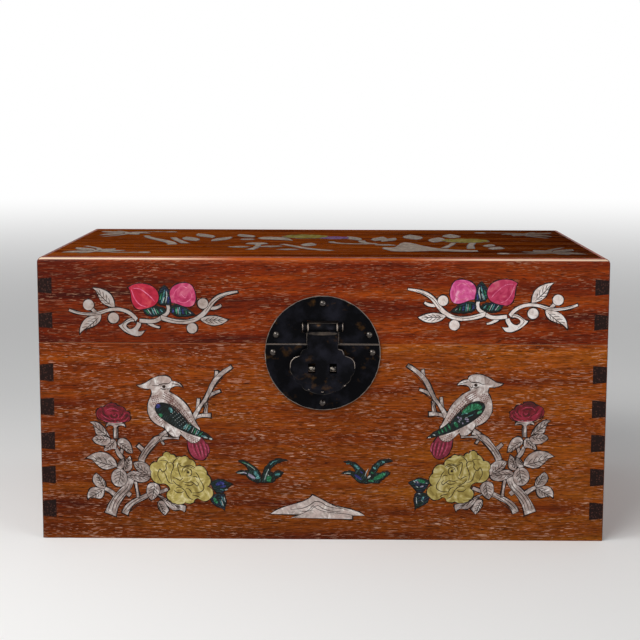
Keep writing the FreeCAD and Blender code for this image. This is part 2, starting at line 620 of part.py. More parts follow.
def pin_bars(name, side, low, inner, outer, count):
    """Dovetail pins of one side board as bars of full depth, taller on the inner side."""
    half_width, half_depth, board = dim("box_width") / 2, dim("box_depth") / 2, dim("board")
    bars = []
    for index in range(count):
        middle = low + index * dim("pin_pitch")
        corners = [Vector(side * (half_width - board), -half_depth, middle - inner / 2),
                   Vector(side * half_width, -half_depth, middle - outer / 2),
                   Vector(side * half_width, -half_depth, middle + outer / 2),
                   Vector(side * (half_width - board), -half_depth, middle + inner / 2)]
        face = Part.Face(Part.makePolygon(corners + corners[:1]))
        bars.append(face.extrude(Vector(0, dim("box_depth"), 0)))
    return shaped(name, Part.makeCompound(bars))


def side_place(side):
    """Low X of a board that stands at the left (-1) or right (+1) end."""
    return "-box_width / 2" if side < 0 else "box_width / 2 - board"


def carcass(part, envelope, height, base, pins, panel_at):
    """The boards of the case or of the lid, before their own holes and pockets are cut."""
    panel = block(f"{part}_panel_space", ("box_width - 2 * rebate", "box_depth - 2 * rebate", "panel"),
                  ("-box_width / 2 + rebate", "-box_depth / 2 + rebate", panel_at))
    bars = {side: pin_bars(f"{part}_pins_{word}", side, *pins)
            for side, word in ((-1, "left"), (1, "right"))}
    boards = {}
    for word, low_y in (("front", "-box_depth / 2"), ("back", "box_depth / 2 - board")):
        plank = block(f"{part}_{word}_plank", ("box_width", "board", height),
                      ("-box_width / 2", low_y, base))
        rounded = common(f"{part}_{word}_rounded", [envelope, plank])
        boards[word] = cut(f"{part}_{word}_joined", rounded, [panel, *bars.values()])
    for side, word in ((-1, "left"), (1, "right")):
        plank = block(f"{part}_{word}_plank", ("board", "box_depth - 2 * board", height),
                      (side_place(side), "-box_depth / 2 + board", base))
        pinned = fuse(f"{part}_{word}_pinned", [plank, bars[side]])
        rounded = common(f"{part}_{word}_rounded", [envelope, pinned])
        boards[word] = cut(f"{part}_{word}_joined", rounded, [panel])
    return boards


case_boards = carcass(
    "case", case_envelope, "case_height", "0",
    (dim("case_pin_low"), dim("case_pin_inner"), dim("case_pin_outer"), 5), "0")
lid_boards = carcass(
    "lid", lid_envelope, "lid_height", "case_height",
    (dim("lid_pin_low"), dim("lid_pin_inner"), dim("lid_pin_outer"), 2),
    "case_height + lid_height - panel")

node("case_left_side", case_boards["left"])
node("case_right_side", case_boards["right"])
node("lid_left_side", lid_boards["left"])
node("lid_right_side", lid_boards["right"])
node("case_bottom", padded_rectangle("bottom_panel", "box_width - 2 * rebate",
                                     "box_depth - 2 * rebate", "panel"))
lid_panel = padded_rectangle("lid_panel", "box_width - 2 * rebate", "box_depth - 2 * rebate", "panel")
place(lid_panel, ("0", "0", "case_height + lid_height - panel"))

# ------------------------------------------------------------------ inlay plates and pockets

front_face = Placement(Vector(0, -dim("box_depth") / 2, 0), TOWARDS_FRONT)
top_face = Placement(Vector(0, -dim("box_depth") / 2, dim("case_height") + dim("lid_height")), UPRIGHT)

left_scene = fit_together(wing_and_bird() + peony() + crimson_flower() + dark_leaves()
                          + white_leaves() + branches())
right_scene = moved(mirrored(left_scene), -dim("right_scene_in"), dim("right_scene_up"),
                    dim("right_scene_turn"), Vector(88, 50))
left_swallow = fit_together(swallow())
right_swallow = moved(left_swallow, dim("swallow_step"), 0)
case_inlay = left_scene + right_scene + left_swallow + right_swallow + fit_together(mountain())
left_sprig = fit_together(peach_sprig())
right_sprig = moved(mirrored(left_sprig), 0, dim("right_sprig_up"), dim("right_sprig_turn"),
                    Vector(89, 124))
lid_inlay = left_sprig + right_sprig
front_left = fit_together(corner_sprig())
front_corners = front_left + mirrored(front_left)
half_way_back = Vector(0, dim("box_depth") / 2)
back_corners = [(kind, face.mirror(half_way_back, Vector(0, 1, 0))) for kind, face in front_corners]
top_inlay = front_corners + back_corners + fit_together(top_scene())


def inlay_nodes(pieces, lift, prefix):
    """One node for each kind of shell, and the pockets for all of them."""
    for kind in dict.fromkeys(kind for kind, _ in pieces):
        faces = [face for found, face in pieces if found == kind]
        node(f"{prefix}{kind}", shaped(f"{prefix}{kind}_plates", as_plates(faces, lift)))
    return shaped(f"{prefix}pockets", as_pockets([face for _, face in pieces], lift))


case_pockets = inlay_nodes(case_inlay, front_face, "inlay_")
lid_pockets = inlay_nodes(lid_inlay, front_face, "lid_inlay_")
top_pockets = inlay_nodes(top_inlay, top_face, "inlay_")

# ------------------------------------------------------------------ nails

def nail_shape(at, turn):
    """A dome-headed brass nail; its head's underside is at 'at'."""
    head, rise, length = dim("nail_head"), dim("nail_rise"), dim("nail_length")
    ball_radius = (head ** 2 + rise ** 2) / (2 * rise)
    ball = Part.makeSphere(ball_radius, Vector(0, 0, rise - ball_radius))
    above = Part.makeBox(4 * head, 4 * head, 2 * rise, Vector(-2 * head, -2 * head, 0))
    shank = Part.makeCylinder(dim("nail_shank"), length, Vector(0, 0, -length))
    nail = ball.common(above).fuse(shank)
    nail.Placement = Placement(at, turn)
    return nail


def nails(name, places, turn, face_y):
    """A group of nails through a plate whose outer face is at face_y, and the holes for them."""
    at = [Vector(u, face_y, v) for u, v in places]
    node(name, shaped(f"{name}_group", Part.makeCompound([nail_shape(spot, turn) for spot in at])))
    radius = dim("nail_shank") + dim("press_play")
    holes = [Part.makeCylinder(radius, 2 * dim("nail_length"), spot - turn * Vector(0, 0, 1)
                               * dim("nail_length"), turn * Vector(0, 0, 1)) for spot in at]
    return shaped(f"{name}_holes", Part.makeCompound(holes))


front_plate_y = -dim("box_depth") / 2 - dim("plate")
back_plate_y = -front_plate_y
lock_upper_holes = nails("lock_nails_upper", ((0, 127.5), (-24.5, 111), (24.5, 111)),
                         TOWARDS_FRONT, front_plate_y)
lock_lower_holes = nails("lock_nails_lower", ((0, 74.6), (-26.2, 101.6), (26.2, 101.6)),
                         TOWARDS_FRONT, front_plate_y)

seam = dim("case_height")
leaf_nails = ((-12.5, 8.5), (12.5, 8.5), (0, 15.5))
hinge_middles = (-dim("hinge_offset"), dim("hinge_offset"))
hinge_lid_holes = nails("hinge_nails_lid",
                        [(middle + u, seam + v) for middle in hinge_middles for u, v in leaf_nails],
                        TOWARDS_BACK, back_plate_y)
hinge_case_holes = nails("hinge_nails_case",
                         [(middle + u, seam - v) for middle in hinge_middles for u, v in leaf_nails],
                         TOWARDS_BACK, back_plate_y)

# ------------------------------------------------------------------ lock plate, hasp and staples

front_y = "-box_depth / 2"
axis_y = "-box_depth / 2 - axis_stand"

lock_disc = rod("lock_disc", "lock_radius", "plate", ("0", front_y, "lock_height"), TOWARDS_FRONT)
above_seam = block("above_seam", ("3 * lock_radius", "3 * plate", "2 * lock_radius"),
                   ("-1.5 * lock_radius", "-box_depth / 2 - 2 * plate", "case_height + plate_gap"))
below_seam = block("below_seam", ("3 * lock_radius", "3 * plate", "2 * lock_radius"),
                   ("-1.5 * lock_radius", "-box_depth / 2 - 2 * plate",
                    "case_height - plate_gap - 2 * lock_radius"))
notch = block("hasp_notch", ("2 * notch_half", "3 * plate", "hasp_axis_height + notch_rise - case_height"),
              ("-notch_half", "-box_depth / 2 - 2 * plate", "case_height"))
upper_half = cut("upper_half", common("upper_disc", [lock_disc, above_seam]), [notch])
ears = [rod(f"ear_{word}", "barrel_radius", "ear_out - ear_in", (low, axis_y, "hasp_axis_height"), ALONG_X)
        for word, low in (("left", "-ear_out"), ("right", "ear_in"))]
ear_bore = rod("ear_bore", "hasp_pin_radius + press_play", "4 * hasp_half",
               ("-2 * hasp_half", axis_y, "hasp_axis_height"), ALONG_X)
node("lock_plate_upper", cut("lock_upper", fuse("upper_with_ears", [upper_half, *ears]),
                             [ear_bore, lock_upper_holes]))
node("hasp_pin", rod("hasp_pin_rod", "hasp_pin_radius", "2 * ear_out",
                     ("-ear_out", axis_y, "hasp_axis_height"), ALONG_X))

staples, shank_holes = [], []
for word, offset in (("left", "-staple_offset"), ("right", "staple_offset")):
    ring_at = (f"{offset} - staple_width / 2", "-box_depth / 2 - staple_stand", "staple_height")
    ring = rod(f"staple_ring_{word}", "staple_ring", "staple_width", ring_at, ALONG_X)
    eye = rod(f"staple_eye_{word}", "staple_eye", "staple_width", ring_at, ALONG_X)
    shank = block(f"staple_shank_{word}",
                  ("staple_width", "staple_stand - 1.3 * staple_eye + board", "staple_shank"),
                  (f"{offset} - staple_width / 2", "-box_depth / 2 - staple_stand + 1.3 * staple_eye",
                   "staple_height - staple_shank / 2"))
    tail = block(f"staple_tail_{word}", ("staple_width", "staple_clinch", "staple_tail"),
                 (f"{offset} - staple_width / 2", "-box_depth / 2 + board",
                  "staple_height - staple_tail / 2"))
    staples.append(cut(f"staple_{word}", fuse(f"staple_solid_{word}", [ring, shank, tail]), [eye]))
    shank_holes.append(block(
        f"shank_hole_{word}",
        ("staple_width + 2 * press_play", "2 * board", "staple_shank + 2 * press_play"),
        (f"{offset} - staple_width / 2 - press_play", "-box_depth / 2 - board / 2",
         "staple_height - staple_shank / 2 - press_play")))
node("lock_staples", group("staple_pair", staples))
node("lock_plate_lower", cut("lock_lower", common("lower_disc", [lock_disc, below_seam]),
                             [*shank_holes, lock_lower_holes]))


def hasp_leaf():
    """The hasp's leaf, drawn about its hinge axis: a straight neck, then scalloped shoulders."""
    half = dim("hasp_half")
    neck = -11.3
    arcs = ((half, neck), (10.8, -12.6), (11.5, -14.9), (17.1, -20.4), (15.0, -25.8),
            (13.8, -28.7), (11.0, -30.1), (9.7, -32.4), (7.0, -33.4))
    tip = (0, -35.2)
    right = [Vector(u, 0, v) for u, v in arcs]
    left = [Vector(-point.x, 0, point.z) for point in right]
    edges = [Part.LineSegment(Vector(-half, 0, 0), Vector(half, 0, 0)).toShape(),
             Part.LineSegment(Vector(half, 0, 0), right[0]).toShape()]
    edges += [Part.Arc(*right[i:i + 3]).toShape() for i in range(0, len(right) - 2, 2)]
    edges.append(Part.Arc(right[-1], Vector(tip[0], 0, tip[1]), left[-1]).toShape())
    edges += [Part.Arc(*left[i:i + 3][::-1]).toShape() for i in range(len(left) - 3, -1, -2)]
    edges.append(Part.LineSegment(left[0], Vector(-half, 0, 0)).toShape())
    face = Part.Face(Part.Wire(edges))
    face.translate(Vector(0, -dim("barrel_radius"), 0))
    return face.extrude(Vector(0, dim("hasp_thick"), 0))


hasp_barrel = rod("hasp_barrel", "barrel_radius", "2 * hasp_half", ("-hasp_half", "0", "0"), ALONG_X)
hasp_bore = rod("hasp_bore", "hasp_pin_radius + hasp_running", "4 * hasp_half",
                ("-2 * hasp_half", "0", "0"), ALONG_X)
slots = [block(f"hasp_slot_{word}", ("slot_width", "4 * hasp_thick", "slot_height"),
               (f"{offset} - slot_width / 2", "-barrel_radius - hasp_thick",
                "staple_height - hasp_axis_height - slot_height / 2"))
         for word, offset in (("left", "-staple_offset"), ("right", "staple_offset"))]
hasp = cut("hasp_body", fuse("hasp_solid", [shaped("hasp_leaf", hasp_leaf()), hasp_barrel]),
           [hasp_bore, *slots])
node("hasp", place(hasp, ("0", axis_y, "hasp_axis_height"), Rotation(Vector(1, 0, 0), -dim("hasp_rest"))))

# ------------------------------------------------------------------ hinges

back_y = "box_depth / 2"
pin_y = "box_depth / 2 + axis_stand"


def stop_heel(middle):
    """The lug on the lid leaf's knuckle that meets the case leaf when the lid is open."""
    axis = Vector(middle, dim("box_depth") / 2 + dim("axis_stand"), seam)
    half = dim("middle_knuckle") - dim("knuckle_play")
    inner = 0.75 * dim("barrel_radius")

    def at(radius, degrees):
        turn = math.radians(degrees)
        return axis + Vector(-half, radius * math.sin(turn), radius * math.cos(turn))

    start, end, outer = dim("stop_start"), dim("stop_end"), dim("stop_radius")
    edges = [Part.LineSegment(at(inner, start), at(outer, start)).toShape(),
             Part.Arc(at(outer, start), at(outer, (start + end) / 2), at(outer, end)).toShape(),
             Part.LineSegment(at(outer, end), at(inner, end)).toShape(),
             Part.LineSegment(at(inner, end), at(inner, start)).toShape()]
    return Part.Face(Part.Wire(edges)).extrude(Vector(2 * half, 0, 0))


def hinge(word, middle):
    """One round hinge: a half-disc leaf on the case, one on the lid, and the pin."""
    disc_at = (middle, back_y, "case_height")
    leaf_disc = rod(f"leaf_disc_{word}", "hinge_radius", "plate", disc_at, TOWARDS_BACK)
    lid_side = block(f"lid_side_{word}", ("2 * hinge_radius", "plate", "hinge_radius"),
                     (f"{middle} - hinge_radius", back_y, "case_height + plate_gap"))
    case_side = block(f"case_side_{word}", ("2 * hinge_radius", "plate", "hinge_radius"),
                      (f"{middle} - hinge_radius", back_y, "case_height - plate_gap - hinge_radius"))
    middle_gap = block(f"middle_gap_{word}",
                       ("2 * middle_knuckle + 2 * knuckle_play", "plate", "leaf_clear"),
                       (f"{middle} - middle_knuckle - knuckle_play", back_y, "case_height - leaf_clear"))
    outer_gaps = [block(f"outer_gap_{word}_{index}",
                        ("outer_knuckle - middle_knuckle + knuckle_play", "plate", "leaf_clear"),
                        (low, back_y, "case_height"))
                  for index, low in enumerate((f"{middle} - outer_knuckle - knuckle_play",
                                               f"{middle} + middle_knuckle"))]
    outer_length = "outer_knuckle - middle_knuckle - knuckle_play"
    outer = [rod(f"outer_knuckle_{word}_{index}", "barrel_radius", outer_length,
                 (low, pin_y, "case_height"), ALONG_X)
             for index, low in enumerate((f"{middle} - outer_knuckle",
                                          f"{middle} + middle_knuckle + knuckle_play"))]
    centre = rod(f"middle_knuckle_{word}", "barrel_radius", "2 * middle_knuckle",
                 (f"{middle} - middle_knuckle", pin_y, "case_height"), ALONG_X)
    long_at = (f"{middle} - hinge_radius", pin_y, "case_height")
    press_bore = rod(f"press_bore_{word}", "hinge_pin_radius + press_play", "2 * hinge_radius",
                     long_at, ALONG_X)
    run_bore = rod(f"run_bore_{word}", "hinge_pin_radius + hasp_running", "2 * hinge_radius",
                   long_at, ALONG_X)
    heel = shaped(f"stop_heel_{word}", stop_heel(dim("hinge_offset") * (1 if word == "right" else -1)))
    case_leaf = cut(f"case_half_{word}", common(f"case_half_disc_{word}", [leaf_disc, case_side]),
                    [middle_gap])
    lid_leaf = cut(f"lid_half_{word}", common(f"lid_half_disc_{word}", [leaf_disc, lid_side]), outer_gaps)
    node(f"hinge_{word}_case_leaf",
         cut(f"case_leaf_{word}", fuse(f"case_leaf_solid_{word}", [case_leaf, *outer]),
             [press_bore, hinge_case_holes]))
    node(f"hinge_{word}_lid_leaf",
         cut(f"lid_leaf_{word}", fuse(f"lid_leaf_solid_{word}", [lid_leaf, centre, heel]),
             [run_bore, hinge_lid_holes]))
    shaft = rod(f"hinge_shaft_{word}", "hinge_pin_radius", "2 * outer_knuckle",
                (f"{middle} - outer_knuckle", pin_y, "case_height"), ALONG_X)
    heads = [rod(f"pin_head_{word}_{index}", "pin_head", "pin_head_thick", (low, pin_y, "case_height"),
                 ALONG_X)
             for index, low in enumerate((f"{middle} - outer_knuckle - pin_head_thick",
                                          f"{middle} + outer_knuckle"))]
    node(f"hinge_{word}_pin", fuse(f"hinge_pin_{word}", [shaft, *heads]))


hinge("left", "-hinge_offset")
hinge("right", "hinge_offset")

# ------------------------------------------------------------------ finished boards

node("case_front", cut("case_front_board", case_boards["front"],
                       [case_pockets, lock_lower_holes, *shank_holes]))
node("case_back", cut("case_back_board", case_boards["back"], [hinge_case_holes]))
node("lid_front", cut("lid_front_board", lid_boards["front"], [lid_pockets, lock_upper_holes]))
node("lid_back", cut("lid_back_board", lid_boards["back"], [hinge_lid_holes]))
node("lid_top", cut("lid_top_board", lid_panel, [top_pockets]))

# ------------------------------------------------------------------ tray and its rails

rails = [block(f"rail_{word}", ("rail_width", "box_depth - 2 * board", "rail_height"),
               (low, "-box_depth / 2 + board", "tray_base - rail_height"))
         for word, low in (("left", "-box_width / 2 + board"),
                           ("right", "box_width / 2 - board - rail_width"))]
node("tray_rails", group("rail_pair", rails))

for word, low in (("front", "-tray_depth / 2"), ("back", "tray_depth / 2 - tray_board")):
    node(f"tray_{word}", block(f"tray_{word}_board", ("tray_width", "tray_board", "tray_height"),
                               ("-tray_width / 2", low, "tray_base")))
for word, low in (("left", "-tray_width / 2"), ("right", "tray_width / 2 - tray_board")):
    end = block(f"tray_{word}_plank", ("tray_board", "tray_depth - 2 * tray_board", "tray_height"),
                (low, "-tray_depth / 2 + tray_board", "tray_base"))
    finger = rod(f"finger_{word}", "finger_radius", "3 * tray_board",
                 (f"{low} - tray_board", "0", "tray_base + tray_height"), ALONG_X)
    node(f"tray_{word}", cut(f"tray_{word}_board", end, [finger]))
tray_floor = padded_rectangle("tray_floor", "tray_width - 2 * tray_board", "tray_depth - 2 * tray_board",
                              "tray_floor")
node("tray_bottom", place(tray_floor, ("0", "0", "tray_base")))

divider_base = "tray_base + tray_floor"
long_divider = block("long_divider", ("tray_width - 2 * tray_board", "divider", "divider_height"),
                     ("-tray_width / 2 + tray_board", "-divider / 2", divider_base))
cross_dividers = [
    block(f"cross_divider_{row}_{column}",
          ("divider", "tray_depth / 2 - tray_board - divider / 2", "divider_height"),
          (f"{across} - divider / 2", low, divider_base))
    for column, across in enumerate(("-tray_width / 6", "tray_width / 6"))
    for row, low in (("front", "-tray_depth / 2 + tray_board"), ("back", "divider / 2"))]
node("tray_dividers", group("divider_set", [long_divider, *cross_dividers]))

# ------------------------------------------------------------------ check and write

doc.recompute()
for item in doc.Objects:
    if {"Invalid", "Error"} & set(item.State):
        raise RuntimeError(f"{item.Name} failed: {item.State}")
for name, item in NODES.items():
    if item.Shape.isNull() or not item.Shape.isValid():
        raise RuntimeError(f"{name} has no valid shape")
    if not item.Shape.Solids:
        raise RuntimeError(f"{name} holds no solid")

os.makedirs("parts", exist_ok=True)
for name, item in NODES.items():
    item.Shape.exportStep(f"parts/{name}.step")
print(len(NODES), "nodes", sum(len(item.Shape.Solids) for item in NODES.values()), "solids")
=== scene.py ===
import bpy
import numpy as np
from mathutils import Matrix, Vector


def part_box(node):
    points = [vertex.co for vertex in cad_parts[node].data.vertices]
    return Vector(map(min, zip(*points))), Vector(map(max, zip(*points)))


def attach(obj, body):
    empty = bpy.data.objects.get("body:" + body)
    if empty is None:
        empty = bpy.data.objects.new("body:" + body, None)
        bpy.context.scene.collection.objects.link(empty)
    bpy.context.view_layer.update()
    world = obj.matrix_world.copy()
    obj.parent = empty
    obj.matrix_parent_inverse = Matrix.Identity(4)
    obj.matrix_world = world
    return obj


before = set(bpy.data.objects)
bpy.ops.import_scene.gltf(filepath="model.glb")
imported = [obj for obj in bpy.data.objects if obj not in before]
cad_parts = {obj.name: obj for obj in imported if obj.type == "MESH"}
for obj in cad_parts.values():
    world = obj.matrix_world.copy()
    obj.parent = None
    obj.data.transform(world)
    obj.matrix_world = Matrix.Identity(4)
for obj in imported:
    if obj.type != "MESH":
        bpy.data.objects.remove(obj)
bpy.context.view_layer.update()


# ------------------------------------------------------------------ the room
# The chest stands on a pale matt table top, seen from a little above its lid.
# Two softboxes and a pale room light it.

def linear(hex_colour):
    """sRGB to linear: c / 12.92 up to 0.04045, else ((c + 0.055) / 1.055) to the power 2.4."""
    coded = np.array([int(hex_colour[i:i + 2], 16) for i in (1, 3, 5)]) / 255
    light = np.where(coded <= 0.04045, coded / 12.92, ((coded + 0.055) / 1.055) ** 2.4)
    return (*light.tolist(), 1.0)


def add_node(tree, kind, inputs=None, stops=(), **settings):
    """Add one node with its settings and links.

    An input is a plain value, the output that feeds it, or a node whose first output in use does.
    The 'stops' of a colour ramp are (position, colour), first to last.
    """
    added = tree.nodes.new(kind)
    for name, value in settings.items():
        setattr(added, name, value)
    if stops:
        elements = added.color_ramp.elements
        for element, (position, colour) in zip(elements, (stops[0], stops[-1])):
            element.position, element.color = position, linear(colour)
        for position, colour in stops[1:-1]:
            elements.new(position).color = linear(colour)
    for name, value in (inputs or {}).items():
        if isinstance(value, bpy.types.Node):
            value = next(output for output in value.outputs if output.enabled)
        if isinstance(value, bpy.types.NodeSocket):
            tree.links.new(value, added.inputs[name])
        else:
            added.inputs[name].default_value = value
    return added


def empty_material(name):
    """A named material with a bare node tree."""
    material = bpy.data.materials.new(name)
    material.use_nodes = True
    material.node_tree.nodes.clear()
    return material, material.node_tree


def surface_mesh(name, points, faces):
    """A mesh object at the origin from arrays of points in metres and faces of point numbers."""
    mesh = bpy.data.meshes.new(name)
    mesh.from_pydata(points.tolist(), [], faces.tolist())
    mesh.update()
    made = bpy.data.objects.new(name, mesh)
    bpy.context.scene.collection.objects.link(made)
    return made


def plainly_seen(tree):
    """1 for rays from the eye, off a mirror or through glass, and 0 for those that carry light."""
    ray = add_node(tree, "ShaderNodeLightPath")
    seen = ray.outputs["Is Camera Ray"]
    for other in ("Is Glossy Ray", "Is Transmission Ray"):
        seen = add_node(tree, "ShaderNodeMath", {
            0: seen, 1: ray.outputs[other]}, operation="MAXIMUM")
    return seen


camera_data = bpy.data.cameras.new("view")
camera_data.lens, camera_data.sensor_width = 85.07, 36
camera = bpy.data.objects.new("view", camera_data)
bpy.context.scene.collection.objects.link(camera)
eye = (0.0083, -0.8808, 0.2291)
down, yaw, roll = np.radians([7.985, 0.711, 0.145])
camera.matrix_world = (Matrix.Translation(eye) @ Matrix.Rotation(yaw, 4, "Z")
                       @ Matrix.Rotation(np.pi / 2 - down, 4, "X") @ Matrix.Rotation(roll, 4, "Z"))
bpy.context.scene.camera = camera
bpy.context.scene.view_settings.view_transform = "Standard"

table_material, tree = empty_material("matt_white_table")
table_at = add_node(tree, "ShaderNodeTexCoord").outputs["Object"]
table_noise = add_node(tree, "ShaderNodeTexNoise", {"Scale": 900.0, "Detail": 3.0})
table_skin = add_node(tree, "ShaderNodeBump", {
    "Height": table_noise, "Strength": 0.2, "Distance": 0.0002})
table_seen = plainly_seen(tree)
# the wood gets less light back from the table than the eye does
table_colour = add_node(tree, "ShaderNodeMix", {
    0: table_seen, 6: linear("#383635"), 7: linear("#eeedeb")}, data_type="RGBA")
table_shader = add_node(tree, "ShaderNodeBsdfPrincipled", {
    "Base Color": table_colour, "Roughness": 0.85, "Specular IOR Level": 0.2, "Normal": table_skin})
# behind the chest the table runs into the white backdrop, as a paper sweep does
away = add_node(tree, "ShaderNodeVectorMath", {0: table_at}, operation="LENGTH")
sweep = add_node(tree, "ShaderNodeMapRange", {
    "Value": away, "From Min": 0.35, "From Max": 3.2}, interpolation_type="SMOOTHSTEP")
sweep_seen = add_node(tree, "ShaderNodeMath", {0: sweep, 1: table_seen}, operation="MULTIPLY")
sweep_white = add_node(tree, "ShaderNodeEmission", {"Color": linear("#ffffff"), "Strength": 1.0})
table_top = add_node(tree, "ShaderNodeMixShader", {0: sweep_seen, 1: table_shader, 2: sweep_white})
add_node(tree, "ShaderNodeOutputMaterial", {"Surface": table_top})
reach, sunk = 6.0, 0.0001
corners = [[across * reach, back * reach, -sunk]
           for across, back in ((-1, -1), (1, -1), (1, 1), (-1, 1))]
floor = surface_mesh("table_top", np.array(corners), np.array([[0, 1, 2, 3]]))
floor.data.materials.append(table_material)

world = bpy.data.worlds.new("studio")
bpy.context.scene.world = world
world.use_nodes = True
tree = world.node_tree
tree.nodes.clear()
room_light = add_node(tree, "ShaderNodeBackground", {"Color": linear("#f3f5f8"), "Strength": 0.36})
backdrop = add_node(tree, "ShaderNodeBackground", {"Color": linear("#ffffff"), "Strength": 1.0})
room = add_node(tree, "ShaderNodeMixShader", {0: plainly_seen(tree), 1: room_light, 2: backdrop})
add_node(tree, "ShaderNodeOutputWorld", {"Surface": room})

chest_middle = Vector((0, 0, 0.08))
for lamp_name, place, size, power in (("key_softbox", (-0.55, -1.15, 1.05), 0.55, 7.2),
                                      ("fill_softbox", (1.25, -1.15, 0.50), 0.9, 8.0),
                                      ("top_softbox", (-0.32, -0.30, 0.52), 0.30, 1.7)):
    lamp_data = bpy.data.lights.new(lamp_name, "AREA")
    lamp_data.shape, lamp_data.size, lamp_data.energy = "SQUARE", size, power
    lamp = bpy.data.objects.new(lamp_name, lamp_data)
    bpy.context.scene.collection.objects.link(lamp)
    aim = (chest_middle - Vector(place)).to_track_quat("-Z", "Y").to_matrix().to_4x4()
    lamp.matrix_world = Matrix.Translation(place) @ aim


# ------------------------------------------------------------------ case boards
# Four boards of red rosewood, dovetailed at the corners, and a bottom board let into them.
# Planed, stained and waxed by hand: the short pores catch pale wax and end grain goes dark.

def waxed_rosewood(name, pale, middle, dark, pore_wax, worn, along="X", slope=0.0, level=0.12,
                   satin=(0.42, 0.6), edge_glint_ends=None, end_grain=1.0,
                   end_shades=("#ffffff", "#ffffff"), drift=(-0.15, 0.15), foot_shade="#ffffff"):
    """Red hardwood under wax: tone, thin streaks and short pores, all drawn out along one axis.

    The wood is multiplied by a painted shade that drifts between the two end hues over the metres
    of 'drift', and by a painted shade at the floor, which fades out 0.1 m up. 'level' and 'satin'
    are the wax's shine. The eased edges take the 'worn' colour, partly wear and partly a painted
    highlight, and turn to a paler painted glint towards the ends of a board.
    """
    material, tree = empty_material(name)
    coordinates = add_node(tree, "ShaderNodeTexCoord")
    place = coordinates.outputs["Object"]
    turn = np.pi / 2 if along == "Y" else 0.0
    board = add_node(tree, "ShaderNodeMapping", {
        "Vector": place, "Rotation": (0, slope, turn), "Scale": (1000, 1000, 1000)})
    # the grain wanders a few millimetres over the length of a hand
    sway_at = add_node(tree, "ShaderNodeMapping", {
        "Vector": board, "Scale": (1 / 80, 1 / 30, 1 / 30)})
    sway = add_node(tree, "ShaderNodeTexNoise", {"Vector": sway_at, "Scale": 1.0, "Detail": 2.0})
    bent = add_node(tree, "ShaderNodeVectorMath", {
        0: sway.outputs["Color"], 1: (0, 8, 8), 2: board}, operation="MULTIPLY_ADD")
    # four patterns in the grain, each (mm long, mm broad): the growth tone, thin streaks, short
    # pores, and the places where the pores crowd
    patterns = []
    for long, broad, detail, roughness in ((150, 9, 3.0, 0.55), (18, 0.75, 4.0, 0.7),
                                           (4.6, 0.29, 1.0, 0.5), (26, 7, 2.0, 0.5)):
        drawn_out = add_node(tree, "ShaderNodeMapping", {
            "Vector": bent, "Scale": (1 / long, 1 / broad, 1 / broad)})
        pattern = add_node(tree, "ShaderNodeTexNoise", {
            "Vector": drawn_out, "Scale": 1.0, "Detail": detail, "Roughness": roughness})
        patterns.append(pattern)
    tone, streak, pore, crowd = patterns
    stain = add_node(tree, "ShaderNodeValToRGB", {"Fac": tone},
                     stops=((0.30, dark), (0.47, middle), (0.70, pale)))
    streak_light = add_node(tree, "ShaderNodeMapRange", {
        "Value": streak, "From Min": 0.3, "From Max": 0.7, "To Min": 0.38, "To Max": 1.5})
    streaked = add_node(tree, "ShaderNodeVectorMath", {
        0: stain, 3: streak_light}, operation="SCALE")
    # painted shade: the board darkens and reddens towards one end and darkens at the floor, as
    # light falls
    place_part = add_node(tree, "ShaderNodeSeparateXYZ", {"Vector": place})
    drifted = add_node(tree, "ShaderNodeMapRange", {
        "Value": place_part.outputs["X"], "From Min": drift[0], "From Max": drift[1]})
    end_shade_hue = add_node(tree, "ShaderNodeMix", {
        0: drifted, 6: linear(end_shades[0]), 7: linear(end_shades[1])}, data_type="RGBA")
    along_board = add_node(tree, "ShaderNodeMix", {
        0: 1.0, 6: streaked, 7: end_shade_hue}, data_type="RGBA", blend_type="MULTIPLY")
    raised = add_node(tree, "ShaderNodeMapRange", {
        "Value": place_part.outputs["Z"], "From Max": 0.1})
    foot_shade_hue = add_node(tree, "ShaderNodeMix", {
        0: raised, 6: linear(foot_shade), 7: linear("#ffffff")}, data_type="RGBA")
    toned = add_node(tree, "ShaderNodeMix", {
        0: 1.0, 6: along_board, 7: foot_shade_hue}, data_type="RGBA", blend_type="MULTIPLY")
    # the pores are dashes 2 to 7 mm long, full of pale wax or open and dark; they are drawn half a
    # millimetre high, coarser than the real ones, so that they show
    crowd_share = add_node(tree, "ShaderNodeMapRange", {
        "Value": crowd, "From Min": 0.36, "From Max": 0.64, "To Min": 0.12, "To Max": 1.0})
    waxed = add_node(tree, "ShaderNodeMapRange", {
        "Value": pore, "From Min": 0.63, "From Max": 0.665})
    wax_share = add_node(tree, "ShaderNodeMath", {0: waxed, 1: crowd_share}, operation="MULTIPLY")
    opened = add_node(tree, "ShaderNodeMapRange", {
        "Value": pore, "From Min": 0.41, "From Max": 0.34, "To Max": 0.8})
    with_open = add_node(tree, "ShaderNodeMix", {
        0: opened, 6: toned, 7: linear("#2c0b04")}, data_type="RGBA")
    long_grain = add_node(tree, "ShaderNodeMix", {
        0: wax_share, 6: with_open, 7: linear(pore_wax)}, data_type="RGBA")
    # end grain: cut pores as dots in dark wood, drawn at 1.2 mm because the real ones can't show
    facing = add_node(tree, "ShaderNodeVectorMath", {
        0: coordinates.outputs["Normal"]}, operation="ABSOLUTE")
    facing_part = add_node(tree, "ShaderNodeSeparateXYZ", {"Vector": facing})
    end_share = add_node(tree, "ShaderNodeMapRange", {
        "Value": facing_part.outputs[along], "From Min": 0.6, "From Max": 0.85,
        "To Max": end_grain})
    dots = add_node(tree, "ShaderNodeTexVoronoi", {"Vector": board, "Scale": 1 / 1.2})
    dot = add_node(tree, "ShaderNodeMapRange", {
        "Value": dots, "From Min": 0.12, "From Max": 0.42, "To Min": 1.0, "To Max": 0.0})
    dotted = add_node(tree, "ShaderNodeMix", {
        0: dot, 6: linear("#1c0d0a"), 7: linear("#4e3028")}, data_type="RGBA")
    grain = add_node(tree, "ShaderNodeMix", {
        0: end_share, 6: long_grain, 7: dotted}, data_type="RGBA")
